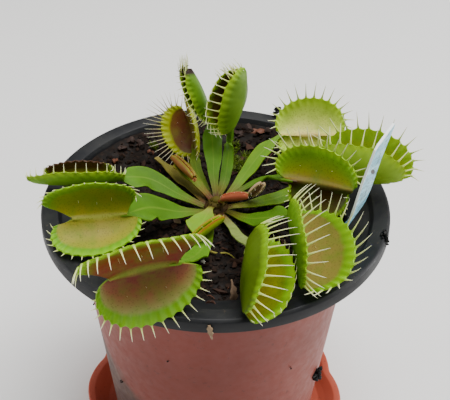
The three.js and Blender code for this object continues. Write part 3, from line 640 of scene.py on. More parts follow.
def peat():
    look = Finish("peat", 0.85, 0.15)
    tone = look.attribute("tone")
    grain = look.noise(520, 5, 0.7)
    patch = look.noise(70, 3, 0.6)
    ground = look.ramp(grain, [(0.3, "#090706"), (0.5, "#150f0b"), (0.7, "#2a1d15")])
    loose = look.ramp(tone, [(0.0, "#0c0906"), (0.35, "#1a110b"), (0.7, "#2c1c12"), (0.85, "#36231a"),
                             (1.0, "#442c20")])
    loose = look.mix(look.times(grain, 0.5), loose, "#0a0705")
    has_tone = look.math("GREATER_THAN", tone, 0.05)
    mossy = look.past(patch, 0.62, 5.0)
    ground = look.mix(look.times(mossy, 0.4), ground, "#272c12")
    look.colour(look.mix(has_tone, ground, loose))
    look.roughness(look.ramp(look.noise(200, 3, 0.6), [(0.35, 0.6), (0.6, 0.95)]))
    look.bump(look.noise(900, 5, 0.7), 0.8, 0.25)
    return look.material


soil_bm = soil_shape()
add_crumbs(soil_bm)
finish(soil_bm, "peat_soil", peat(), "soil", sharp=35)

# %% [markdown]
# ## Leaf shapes
#
# A flytrap's leaf is a flat green stalk with wings, a short neck, and a trap of two lobes joined along
# a midrib. The stalk and the trap start as plain grids. Each vertex then moves to its place on a curved
# surface, which keeps the faces even and gives the materials two coordinates to follow: how far along
# the leaf a point is, and how far out from the midrib. The outer face is a duplicate of the first, and
# the two are bridged into one closed sheet.

# %% Curve helpers


def above(point):
    """A point given from the nursery pot's ridge."""
    return Vector((point[0], point[1], point[2] + RIDGE))


def smooth_path(points, t):
    """A smooth curve through the points, with the bends kept tight near points that stand close."""
    count = len(points)
    place = (count - 1) * t
    first = min(int(place), count - 2)
    weight = place - first
    before = points[first - 1] if first > 0 else 2 * points[0] - points[1]
    after = points[first + 2] if first + 2 < count else 2 * points[-1] - points[-2]
    a, b = points[first], points[first + 1]
    steps = [max(1e-4, math.sqrt((q - p).length)) for p, q in ((before, a), (a, b), (b, after))]
    start = (a - before) / steps[0] - (b - before) / (steps[0] + steps[1]) + (b - a) / steps[1]
    end = (b - a) / steps[1] - (after - a) / (steps[1] + steps[2]) + (after - b) / steps[2]
    start, end = start * steps[1], end * steps[1]
    square, cube = weight**2, weight**3
    return (
        a * (2 * cube - 3 * square + 1) + b * (3 * square - 2 * cube)
        + start * (cube - 2 * square + weight) + end * (cube - square)
    )


class EvenPath:
    """The same curve, read at even distances along it."""

    def __init__(self, points, samples=240):
        self.points = points
        self.spots = [smooth_path(points, i / samples) for i in range(samples + 1)]
        self.lengths = [0.0]
        for p, q in zip(self.spots, self.spots[1:]):
            self.lengths.append(self.lengths[-1] + (q - p).length)

    def at(self, share):
        goal = share * self.lengths[-1]
        if goal <= 0:
            return self.spots[0].copy()
        for i, far in enumerate(self.lengths):
            if far >= goal:
                near = self.lengths[i - 1]
                return self.spots[i - 1].lerp(self.spots[i], (goal - near) / max(1e-9, far - near))
        return self.spots[-1].copy()

    def way(self, share):
        return (self.at(min(1, share + 0.01)) - self.at(max(0, share - 0.01))).normalized()


# %% [markdown]
# A lobe's margin is most of an ellipse. Between the midrib and the margin the lobe bellies outward, and
# close to the margin it curls in again. The margin itself is toothed: every spine stands on a small
# point of it, and the edge sinks back a little between two spines.
#
# The inside of a trap faces halfway between its lobes. On two traps the lobes stand more than half a
# turn apart, so there it faces the opposite way, and those leaves are marked as wide open.

# %% Trap surface
MARGIN_START = 0.25
SPINE_PHASE = (0.4, 0.9)


class Trap:
    def __init__(self, leaf):
        self.leaf = leaf
        neck, tip = above(leaf["neck"]), above(leaf["tip"])
        self.length = (tip - neck).length
        self.along = (tip - neck).normalized()
        self.middle = (neck + tip) / 2
        self.rises = [Vector(lobe["rise"]) for lobe in leaf["lobes"]]
        halfway = (self.rises[0].normalized() + self.rises[1].normalized()).normalized()
        self.open = -halfway if leaf.get("wide_open") else halfway
        self.inward = []
        for rise in self.rises:
            normal = self.along.cross(rise).normalized()
            self.inward.append(normal if normal.dot(self.open) > 0 else -normal)

    def tooth(self, side, u):
        """1 at a spine's root, 0 halfway to the next."""
        spines = 2 * self.leaf["cells"]
        return abs(math.cos(math.pi * (spines * u - SPINE_PHASE[side]))) ** 3

    def point(self, u, v, teeth=0.0):
        side = 0 if v < 0 else 1
        lobe = self.leaf["lobes"][side]
        sag = lobe["sag"]
        reach = abs(v)
        turn = -MARGIN_START + (math.pi + 2 * MARGIN_START) * u
        margin_along = -math.cos(turn) * lobe["width"] / 2 + lobe["slip"]
        rib_along = self.length * (u - 0.5)
        height = ((math.sin(turn) + sag) / (1 + sag) + lobe["skew"] * (0.5 - u)) * reach
        arch = math.sin(math.pi * u)
        belly = self.leaf["belly"] * math.sin(math.pi * reach) * (0.35 + 0.65 * arch)
        inward = -belly + self.leaf["curl"] * arch * reach**3
        if teeth:
            grow = teeth * (self.tooth(side, u) - 0.3) * smoothstep(reach, 0.86, 1.0)
            height += grow / self.rises[side].length
            margin_along += grow * -math.cos(turn) * 0.6
            inward += 0.25 * teeth * math.sin(7 * math.pi * u + side) * smoothstep(reach, 0.6, 1.0)
        return (
            self.middle
            + self.along * (rib_along + (margin_along - rib_along) * reach)
            + self.rises[side] * height
            - self.open * (self.leaf["keel"] * arch * (1 - reach))
            + self.inward[side] * inward
        )

    def normal(self, u, v, teeth=0.0):
        if abs(v) < 1e-6:
            return self.open
        side = 0 if v < 0 else 1
        sign = -1 if side == 0 else 1
        reach = abs(v)
        step = 0.02
        du = self.point(min(u + step, 1), v, teeth) - self.point(max(u - step, 0), v, teeth)
        near, far = max(reach - step, 0.001), min(reach + step, 1)
        dv = self.point(u, sign * far, teeth) - self.point(u, sign * near, teeth)
        normal = du.cross(dv).normalized()
        return normal if normal.dot(self.inward[side]) > 0 else -normal

    def spine(self, side, u):
        """Root, first direction and tip of one spine."""
        lobe = self.leaf["lobes"][side]
        edge = -1 if side == 0 else 1
        root = self.point(u, edge)
        tangent = (self.point(min(u + 0.03, 1), edge) - self.point(max(u - 0.03, 0), edge)).normalized()
        outward = root - self.point(u, edge * 0.8)
        outward = (outward - tangent * outward.dot(tangent)).normalized()
        lean = math.radians(lobe["lean"])
        direction = (outward * math.cos(lean) + self.inward[side] * math.sin(lean)).normalized()
        length = lobe["spines"] * (0.55 + 0.45 * math.sin(math.pi * u))
        return root, outward, tangent, root + direction * length


# %% [markdown]
# A sheet's attributes tell its finish where a point is: how far along the leaf, how far out, on which
# face and lobe, and whether it is stalk, spine or dead. They are plain numbers at each vertex, so they
# survive any export and stay put from any side.

# %% Sheet helper


def set_values(bm, vert, **values):
    for name, value in values.items():
        vert[bm.verts.layers.float[name]] = value


def closed_sheet(columns, rows, place):
    """A grid and its duplicate, moved by place(u, v, face) and bridged round the edge.

    face is 1 on the first grid and -1 on its duplicate."""
    bm = new_mesh()
    bmesh.ops.create_grid(bm, x_segments=columns, y_segments=rows, size=0.5)
    first = list(bm.verts)
    spots = {vert: (vert.co.x + 0.5, 2 * vert.co.y) for vert in first}
    rim = [edge for edge in bm.edges if edge.is_boundary]
    copied = bmesh.ops.duplicate(bm, geom=bm.verts[:] + bm.edges[:] + bm.faces[:])
    twin = copied["vert_map"]
    edge_twin = copied["edge_map"]
    second = {twin[vert]: spots[vert] for vert in first}
    back = [item for item in copied["geom"] if isinstance(item, bmesh.types.BMFace)]
    bmesh.ops.reverse_faces(bm, faces=back)
    for face, table in ((1, spots), (-1, second)):
        for vert, (u, v) in table.items():
            place(bm, vert, u, v, face)
    bmesh.ops.bridge_loops(bm, edges=rim + [edge_twin[edge] for edge in rim])
    bmesh.ops.recalc_face_normals(bm, faces=bm.faces)
    return bm


# %% Trap blade


def trap_blade(leaf, trap):
    teeth = leaf["teeth"]
    dead = leaf.get("dead")
    known = {}

    def surface(u, v):
        key = (round(u, 5), round(v, 5))
        if key not in known:
            known[key] = (trap.point(u, v, teeth), trap.normal(u, v, teeth))
        return known[key]

    def place(bm, vert, u, v, face):
        middle, normal = surface(u, v)
        side = 0 if v < 0 else 1
        reach = abs(v)
        half = leaf["blade"] + leaf["rib"] * (1 - smoothstep(reach, 0, 0.12))
        half *= 1 - 0.45 * smoothstep(reach, 0.85, 1)
        ridge = 0.7 * teeth * (trap.tooth(side, u) - 0.5) * smoothstep(reach, 0.8, 0.94)
        vert.co = middle + normal * (half * face + ridge)
        set_values(bm, vert, along=u, reach=reach, inner=1.0 if face == 1 else 0.0, far=float(side),
                   dead=dead(u, v) if dead else 0.0)

    return closed_sheet(leaf["cells"] * leaf["fine"], leaf["rows"], place)


# %% [markdown]
# A spine is a round bristle that grows straight out of the margin and bends a little towards the other
# lobe. One straight cone with rings along it is made first. Each spine is a copy of it, laid along a
# curve between its root and its tip. The same cone later serves for roots, hairs and moss.

# %% Spines


def bristle(sides, rings):
    bm = new_mesh()
    bmesh.ops.create_cone(bm, cap_ends=True, cap_tris=True, segments=sides, radius1=1, radius2=0.12, depth=1)
    bmesh.ops.translate(bm, verts=bm.verts, vec=(0, 0, 0.5))
    for i in range(1, rings):
        geom = bm.verts[:] + bm.edges[:] + bm.faces[:]
        bmesh.ops.bisect_plane(bm, geom=geom, plane_co=(0, 0, i / rings), plane_no=(0, 0, 1))
    return bm


def add_bristle(target, template, root, bend, tip, across, thick, flare=0.0, blunt=0.12, **values):
    """Adds a copy of the template along a curve from root to tip that is drawn towards bend."""
    bm = template.copy()
    for vert in bm.verts:
        t = max(0.0, min(1.0, vert.co.z))
        centre = root * (1 - t) ** 2 + bend * 2 * t * (1 - t) + tip * t**2
        way = ((bend - root) * (1 - t) + (tip - bend) * t).normalized()
        side = (across - way * across.dot(way)).normalized()
        face = way.cross(side)
        spot = Vector((vert.co.x, vert.co.y))
        spot = spot.normalized() if spot.length > 1e-6 else spot
        radius = thick * mixed(blunt, 1, (1 - t) ** 0.8)
        wide = radius * (1 + flare * (1 - t) ** 6)
        vert.co = centre + side * (spot.x * wide) + face * (spot.y * radius)
        set_values(bm, vert, spine=0.15 + 0.85 * t, **values)
    add_mesh(target, bm)


def scatter(rng, size):
    return Vector([rng.uniform(-size, size) for _ in range(3)])


def add_spines(bm, leaf, trap, template):
    rng = random.Random(leaf["name"])
    cells = leaf["cells"]
    dead = leaf.get("dead")
    more = (0.45, 0.95) if leaf.get("dense") else ()
    for side, places in enumerate(((0.2, 0.7) + more, (0.45, 0.94))):
        edge = -1 if side == 0 else 1
        thick = leaf["bristle"] * min(1.0, 0.5 + 0.1 * leaf["lobes"][side]["spines"])
        for u in [(i + place) / cells for i in range(cells) for place in places]:
            root, outward, tangent, tip = trap.spine(side, u)
            reach = (tip - root).length
            tip = tip + scatter(rng, 0.06 * reach)
            root = trap.point(u, edge, leaf["teeth"])
            bend = root + (tip - root) * 0.45 + outward * reach * leaf["spring"]
            add_bristle(bm, template, root - outward * 0.3, bend, tip, tangent, thick, 1.1, along=u,
                        reach=1.0, far=float(side), dead=dead(u, edge) if dead else 0.0)


def add_tuft(bm, leaf, trap, template, hairs=26):
    """Pale hairs that stand together at a trap's tip."""
    rng = random.Random(leaf["name"])
    way = Vector(leaf["tuft"])
    for i in range(hairs):
        edge = -1 if i % 2 else 1
        u = rng.uniform(0.72, 0.98)
        root = trap.point(u, edge)
        tip = root + way * rng.uniform(0.5, 1.0) + scatter(rng, 0.7)
        bend = root.lerp(tip, 0.5) + scatter(rng, 0.4)
        add_bristle(bm, template, root, bend, tip, trap.along, 0.11, 0.0, 0.3, along=u, reach=1.0)


def add_triggers(bm, trap, template):
    """Three fine hairs stand on each lobe's inner face; touching them shuts the trap."""
    for side, edge in enumerate((-1, 1)):
        for u, reach in ((0.34, 0.5), (0.5, 0.36), (0.66, 0.5)):
            root = trap.point(u, edge * reach)
            tip = root + trap.normal(u, edge * reach) * 1.5
            add_bristle(bm, template, root, root.lerp(tip, 0.5), tip, trap.along, 0.06, along=u,
                        reach=reach, far=float(side), inner=1.0)


# %% [markdown]
# The stalk's wings rise slightly from a rounded middle vein. Its width grows from the crown, is largest
# near the trap on most leaves, and closes to a thin neck.

# %% Stalks
CROWN_TIERS = {"low": (3.3, -3.8, 0.95), "middle": (2.3, -2.4, 0.8), "high": (1.3, -1.0, 0.65)}


def stalk_width(leaf, share):
    base = CROWN_TIERS[leaf["tier"]][2]
    widest, narrow, half = leaf.get("widest", 0.68), leaf.get("narrow", 0.9), leaf["wide"] / 2
    if share < widest:
        return base + (half - base) * smoothstep(share, 0, widest)
    return half + (0.7 - half) * smoothstep(share, widest, narrow)


def stalk_sheet(leaf, trap):
    radius, top, _ = CROWN_TIERS[leaf["tier"]]
    angle = math.radians(leaf["azimuth"])
    base = above(around(angle, radius + 0.65, top - 0.4))
    heart = above(around(angle, 0.4 * radius, top - 1.2))
    bends = [above(point) for point in leaf["via"]]
    if leaf.get("folded") or trap is None:
        end = above(leaf["neck"])
    else:
        bends.append(above(leaf["neck"]))
        end = trap.point(0.12, 0)
    path = EvenPath([base] + bends + [end])
    facing_up = Vector(leaf.get("up", (0, 0, 1))).normalized()
    table = {}
    root_share = 0.06

    def slice_at(u):
        if u not in table:
            share = max(0.0, (u - root_share) / (1 - root_share))
            centre, forward = path.at(share), path.way(share)
            if u < root_share:
                centre = heart.lerp(base, u / root_share)
                forward = (forward + (base - heart).normalized() * (1 - u / root_share)).normalized()
            lean = 1 - min(1.0, 3 * share)
            facing = facing_up.lerp(Vector((0, 0, 1)), lean)
            sideways = facing.cross(forward).normalized()
            face = forward.cross(sideways).normalized()
            table[u] = (share, centre, sideways, face, stalk_width(leaf, share))
        return table[u]

    def place(bm, vert, u, v, side):
        share, centre, sideways, face, half = slice_at(round(u, 5))
        wave = 1 + 0.035 * math.sin(23 * share + 2.2 * math.copysign(1, v)) * smoothstep(share, 0.15, 0.4)
        middle = centre + sideways * v * half * wave
        middle += face * (leaf["trough"] * half * abs(v) ** 1.5)
        ripple = 0.12 * half * math.sin(17 * share + 3 * v) * abs(v) ** 3 * smoothstep(share, 0.2, 0.5)
        middle += face * ripple
        wing = 0.3 - 0.14 * abs(v) ** 2
        thick = wing + 0.25 * math.exp(-((v * half / 0.5) ** 2)) * (0.2 if side == 1 else 1.6)
        vert.co = middle + face * thick * side
        set_values(bm, vert, along=share, reach=v, stalk=1.0, inner=1.0 if side == 1 else 0.0)

    return closed_sheet(40, 10 if leaf["small"] else 12, place)


# %% [markdown]
# ## Leaf finishes
#
# A fresh trap is lime green outside. Inside, a zone of tiny glands covers the lobe from the midrib to
# about five sixths of the way out, olive on some traps and red on others, and a smooth bright band runs
# round it to the margin. All of this follows the attributes, so one recipe serves every leaf, with its
# own colours. The two lobes of a trap often differ, partly in their own colour and partly by painted light
# and shade: one lobe is painted as lit and the other as shaded.

# %% Leaf recipe


def inner_face(look, colours, out, in_zone):
    """The gland zone, the bright band and the rim, from the midrib outward."""
    hinge, near, middle, far, band, rim = colours
    zone = look.zone
    tone = look.ramp(out, [(0.0, hinge), (0.03, hinge), (0.12, near), (0.5, middle), (zone - 0.08, far),
                           (zone, band), (0.96, rim)])
    glands = look.node("ShaderNodeTexVoronoi", 0, {"Vector": look.place(), "Scale": 1800.0})
    dots = look.times(look.math("LESS_THAN", glands, 0.3), look.times(in_zone, 0.42))
    return look.mix(dots, tone, look.mix(0.65, tone, "#2c1408"))


def leaf_finish(name, colours):
    look = Finish(name, 0.48, 0.18)
    look.zone = colours["zone"]
    along, reach = look.attribute("along"), look.attribute("reach")
    inner, far, stalk = look.attribute("inner"), look.attribute("far"), look.attribute("stalk")
    spine, dead = look.attribute("spine"), look.attribute("dead")
    cloud = look.noise(230, 4, 0.6)
    fine = look.noise(1700, 3, 0.6)
    drift = look.times(look.minus(cloud, 0.5), 0.1)

    out = look.plus(reach, drift)
    in_zone = look.past(look.zone, out, 12.0)
    inside = inner_face(look, colours["inside"], out, in_zone)
    if colours["far"]:
        inside = look.mix(far, inside, inner_face(look, colours["far"], out, in_zone))

    shifted = look.plus(along, look.times(drift, 0.3))
    waves = look.node("ShaderNodeCombineXYZ", 0, {0: shifted})
    vein_inputs = {"Vector": waves, "Scale": 6.5, "Distortion": 0.6, "Detail": 1.0}
    veins = look.node("ShaderNodeTexWave", 1, vein_inputs)
    deep, pale, edge = colours["outside"]
    outside = look.ramp(out, [(0.0, deep), (0.35, pale), (0.84, pale), (0.96, edge)])
    outside = look.mix(look.times(veins, 0.06), outside, deep)
    blade = look.mix(inner, outside, inside)

    across = look.math("ABSOLUTE", reach)
    start, green, neck = colours["stalk"]
    body_stops = [(0.0, "#4c2c1c"), (0.08, start), (0.3, green), (0.9, green), (1.0, neck)]
    body = look.ramp(look.plus(along, drift), body_stops)
    rib = look.past(0.12, across, 8.0)
    body = look.mix(look.times(rib, 0.3), body, colours["midrib"])
    lengthways = look.node("ShaderNodeCombineXYZ", 0, {0: reach, 1: along})
    line_inputs = {"Vector": lengthways, "Scale": 4.5, "Distortion": 1.2, "Detail": 2.0}
    lines = look.node("ShaderNodeTexWave", 1, line_inputs)
    body = look.mix(look.times(lines, 0.16), body, deep)
    lip = look.past(across, 0.86, 5.0)
    body = look.mix(look.times(lip, 0.45), body, pale)

    tone = look.mix(stalk, blade, body)
    tone = look.mix(look.past(cloud, 0.42, 1.6), tone, deep)
    rim = colours["inside"][-1]
    bristles = look.ramp(spine, [(0.1, rim), (0.42, colours["bristle"]), (1.0, "#f1efcf")])
    tone = look.mix(look.past(spine, 0.0, 6.0), tone, bristles)
    burnt = look.mix(fine, colours["burnt"], "#1f130c")
    look.colour(look.mix(dead, tone, burnt))
    look.roughness(look.ramp(cloud, [(0.3, 0.4), (0.7, 0.55)]))
    look.shader.inputs["Subsurface Weight"].default_value = 0.08
    look.shader.inputs["Subsurface Radius"].default_value = (0.002, 0.003, 0.001)
    look.shader.inputs["Subsurface Scale"].default_value = 0.3
    outer_face = look.minus(1.0, inner)
    outer_veins = look.times(outer_face, look.times(veins, 0.15))
    relief = look.plus(look.times(lines, stalk), outer_veins)
    relief = look.plus(relief, look.times(fine, 0.4))
    look.bump(relief, 0.35, 0.1)
    return look.material


# %% [markdown]
# ## The leaves
#
# Each leaf is written down as the maker would note it: where its stalk leaves the crown, the points it
# bends through, where the trap's midrib starts and ends, and how each lobe rises from it. The values are
# the same as the plain solids', so the finer leaves fill the same space. Only the small leaves curl in
# more, and the spines on one lobe at the back are longer.
#
# Belly is how far a lobe bulges, keel how deep the midrib lies, curl how far the margin turns in, and
# trough how hollow the stalk is. A lobe has two spines to a cell, and the first lobe of a dense trap has
# four. Teeth, bristle and spring are the height of a tooth and the thickness and bend of a spine; blade
# and rib are half thicknesses. Fine is the number of columns to a cell, and rows goes with it.

# %% Leaf table
LARGE = {"belly": 1.3, "keel": 1.2, "curl": 0.8, "trough": 0.15, "cells": 8, "tier": "low", "small": False,
         "fine": 14, "rows": 34, "teeth": 0.55, "bristle": 0.19, "spring": 0.1, "blade": 0.32, "rib": 0.4}
YOUNG = {"belly": 0.4, "keel": 0.4, "curl": 0.5, "trough": 0.2, "cells": 3, "tier": "high", "small": True,
         "fine": 12, "rows": 16, "teeth": 0.05, "bristle": 0.09, "spring": 0.2, "blade": 0.42, "rib": 0.1}


def lobe(rise, width, lean, spines, slip=0.0, sag=0.45, skew=0.0):
    return {"rise": rise, "width": width, "lean": lean, "spines": spines, "slip": slip, "sag": sag,
            "skew": skew}


leaves = [
    dict(LARGE, name="leaf_front_left", azimuth=256, cells=9, wide=5.5, widest=0.62,
         via=[(-2, -13, -4.3), (-3.8, -22, -1.6)], neck=(-7.6, -38.1, 10), tip=(-21.1, -43.4, 10),
         lobes=[lobe((0, -4.8, 12.2), 26, 60, 5, sag=1.5, skew=0.22),
                lobe((0, -5.8, -10.2), 23, 25, 3.5, -1.4)]),
    dict(LARGE, name="leaf_left_open", azimuth=219, wide=8.5, widest=0.78, narrow=0.95, up=(0, -0.45, 0.85),
         via=[(-9, -5, -2.5), (-16.5, -9, 1.8)], neck=(-21.3, -15.5, 5), tip=(-33.8, -18.5, 5.5),
         lobes=[lobe((0.5, 0.5, 10), 21.5, 30, 3, 2.4, sag=1.2),
                lobe((-0.7, -9.2, -4.7), 21, 20, 2.5, 0.3)]),
    dict(LARGE, name="leaf_left_closed", azimuth=177, wide=6.5, widest=0.8, narrow=0.95, up=(0, -0.4, 0.9),
         via=[(-10, 2.5, -2.5), (-18, 4.5, 1)], neck=(-24.5, 1.5, 3.5), tip=(-46.5, 0, 3),
         lobes=[lobe((0, 1.9, 4.6), 17.5, 60, 2.2, 0.5, sag=0.9),
                lobe((0, -3.2, 3.6), 25, 60, 2.4, 0.8, sag=1.2)]),
    dict(LARGE, name="leaf_front_middle", azimuth=290, cells=9, wide=3,
         via=[(4, -9.5, -3.2), (6, -17, -0.5)], neck=(8, -25, 3.5), tip=(7, -45.4, 3.5),
         lobes=[lobe((3.6, 0, 9.8), 25, 30, 6.5), lobe((10.4, -1, 2.4), 26, 60, 2, 0.8)]),
    dict(LARGE, name="leaf_front_right", keel=0.3, belly=0.7, azimuth=324, cells=9, wide=7,
         up=(0.3, -0.3, 0.9),
         via=[(8, -6.5, -3), (13, -10, 0)], neck=(18.2, -14, 4), tip=(19.4, -36.8, 3),
         lobes=[lobe((0, -4, 11), 27, 30, 6.5), lobe((12.6, -3.4, 6), 26, 25, 6, 0.8)]),
    dict(LARGE, name="leaf_far_right", azimuth=358, wide=5, widest=0.45, narrow=0.8,
         via=[(10, 0.5, -3.5), (19, 3, -2)], neck=(28, 5.5, 4.5), tip=(44.5, -1, 6),
         lobes=[lobe((-1, -1, 9.5), 25, 20, 5.5), lobe((2, 6.8, 10.2), 25, 15, 5.5, 1.6)]),
    dict(LARGE, name="leaf_right", azimuth=33, tier="middle", cells=9, wide=3, wide_open=True,
         via=[(7, 5, -2), (13, 5.5, 1.5)], neck=(17.4, -4.7, 8.5), tip=(33.2, -10.5, 9.5),
         lobes=[lobe((-0.5, 5.6, 7.7), 20.6, 10, 6, -0.5), lobe((-0.4, -2.7, -8.5), 14.8, 40, 3.2, 0.2)]),
    dict(LARGE, name="leaf_back_right", azimuth=52, wide=5, wide_open=True,
         via=[(6.5, 9, -2), (11.5, 14.5, 2.5)], neck=(17.6, 18.5, 7), tip=(33.4, 17.5, 8),
         lobes=[lobe((0, 6.3, 8.2), 19, 10, 5), lobe((0, -3, -6), 17, 10, 4.5)]),
    dict(LARGE, name="leaf_back_middle", azimuth=86, wide=3.2, widest=0.4, keel=2.4, belly=2,
         via=[(2.1, 10, -2.9), (3.2, 17, 4)], neck=(3.9, 15.8, 12.5), tip=(6.4, 17, 26.2),
         lobes=[lobe((-4, -6.5, 1), 19, 45, 4), lobe((-8, -3, 1), 17.5, 45, 4)], tuft=(-1.8, 0, 2.4)),
    dict(LARGE, name="leaf_back_tall", azimuth=94, tier="middle", wide=5.4, up=(0, -1, 0.4), belly=1,
         via=[(-0.9, 8, 0), (-1.3, 13.5, 5)], neck=(-2.4, 18.5, 12.5), tip=(-7.6, 18.5, 26.6),
         lobes=[lobe((-1.4, -5.4, 1), 16, 20, 3), lobe((-4.2, -3.2, 1.5), 16, 20, 3)],
         tuft=(-0.2, 0.4, 4.8)),
    dict(LARGE, name="leaf_back_left", azimuth=114, wide=3, cells=7, belly=0.9,
         via=[(-3.4, 8, -3.7), (-6, 14.5, -2)], neck=(-7, 21.8, -0.2), tip=(-9.3, 28.3, 7.2),
         lobes=[lobe((-8, -1, -0.2), 15, 5, 6.5, 0.4), lobe((2, -4, 4.2), 17, 0, 3, 1)],
         bristle=0.12, dense=True),
    dict(YOUNG, name="young_leaf_front", azimuth=240, tier="middle", wide=8, widest=0.6, folded=True,
         via=[(-3.2, -9, -2.5)], neck=(-5, -16.5, -2), tip=(1.2, -12.8, 1),
         lobes=[lobe((0.7, -0.7, 2.3), 9.5, 50, 0.8, sag=0.8),
                lobe((-0.8, 0.4, 2.3), 9.5, 50, 0.8, sag=0.8)]),
    dict(YOUNG, name="young_leaf_back", azimuth=132, tier="middle", wide=4.6, widest=0.75, folded=True,
         via=[(-6.8, 8, -0.8)], neck=(-12.9, 16.4, 0.1), tip=(-5.8, 3.4, 1.8),
         lobes=[lobe((0.7, 0.45, 2.2), 13.5, 50, 0.6, sag=0.8),
                lobe((-0.7, -0.35, 2.2), 13.5, 50, 0.6, sag=0.8)]),
    dict(YOUNG, name="young_leaf_right", azimuth=14, wide=1.6,
         via=[(5.6, 1.6, -1.4)], neck=(9.4, 1.6, -1), tip=(11.6, 0.4, 3.2),
         lobes=[lobe((1.4, -1.4, 0.4), 6.5, 50, 1.2), lobe((-1.6, -1.2, 0.6), 6.5, 50, 1.2)]),
    dict(YOUNG, name="curled_bud", azimuth=320, wide=1.6, folded=True,
         via=[(1.6, -1.9, -0.8)], neck=(1.8, -2.6, 0.2), tip=(7.6, -2.6, 0.9),
         lobes=[lobe((0.2, 0.6, 1.7), 6.8, 50, 0.5, sag=0.8),
                lobe((0.2, -0.7, 1.7), 6.8, 50, 0.5, sag=0.8)]),
    dict(YOUNG, name="spoon_leaf", azimuth=150, tier="low", wide=4.6, widest=0.62,
         via=[(-7.5, 9.5, -4.5), (-13.2, 16.5, -4.3)], neck=(-18, 20.8, -3)),
]
print("leaves:", len(leaves))

# %% [markdown]
# The colours go with the leaf's age, and they hold painted light and shade as well: a face that is lit
# is painted lighter and one in shade darker. Inside colours run from the midrib to the margin, outside
# ones are deep, pale and edge, and stalk ones run from the crown to the neck. A trap's second lobe has
# its own inside colours where it differs from the first.

# %% Leaf colours
FRESH_STALK = "#5c4c1c #466c10 #628018"
DEEP_STALK = "#64541c #58841c #7c9828"


def skin(inside, outside, stalk, far=None, zone=0.84, midrib="#8fa83c", bristle="#d3da86",
         burnt="#5f3a22"):
    """One leaf's colours. zone is how far out the glands reach, and far is the second lobe's inside."""
    return {"inside": inside.split(), "outside": outside.split(), "stalk": stalk.split(),
            "far": far and far.split(), "zone": zone, "midrib": midrib, "bristle": bristle, "burnt": burnt}


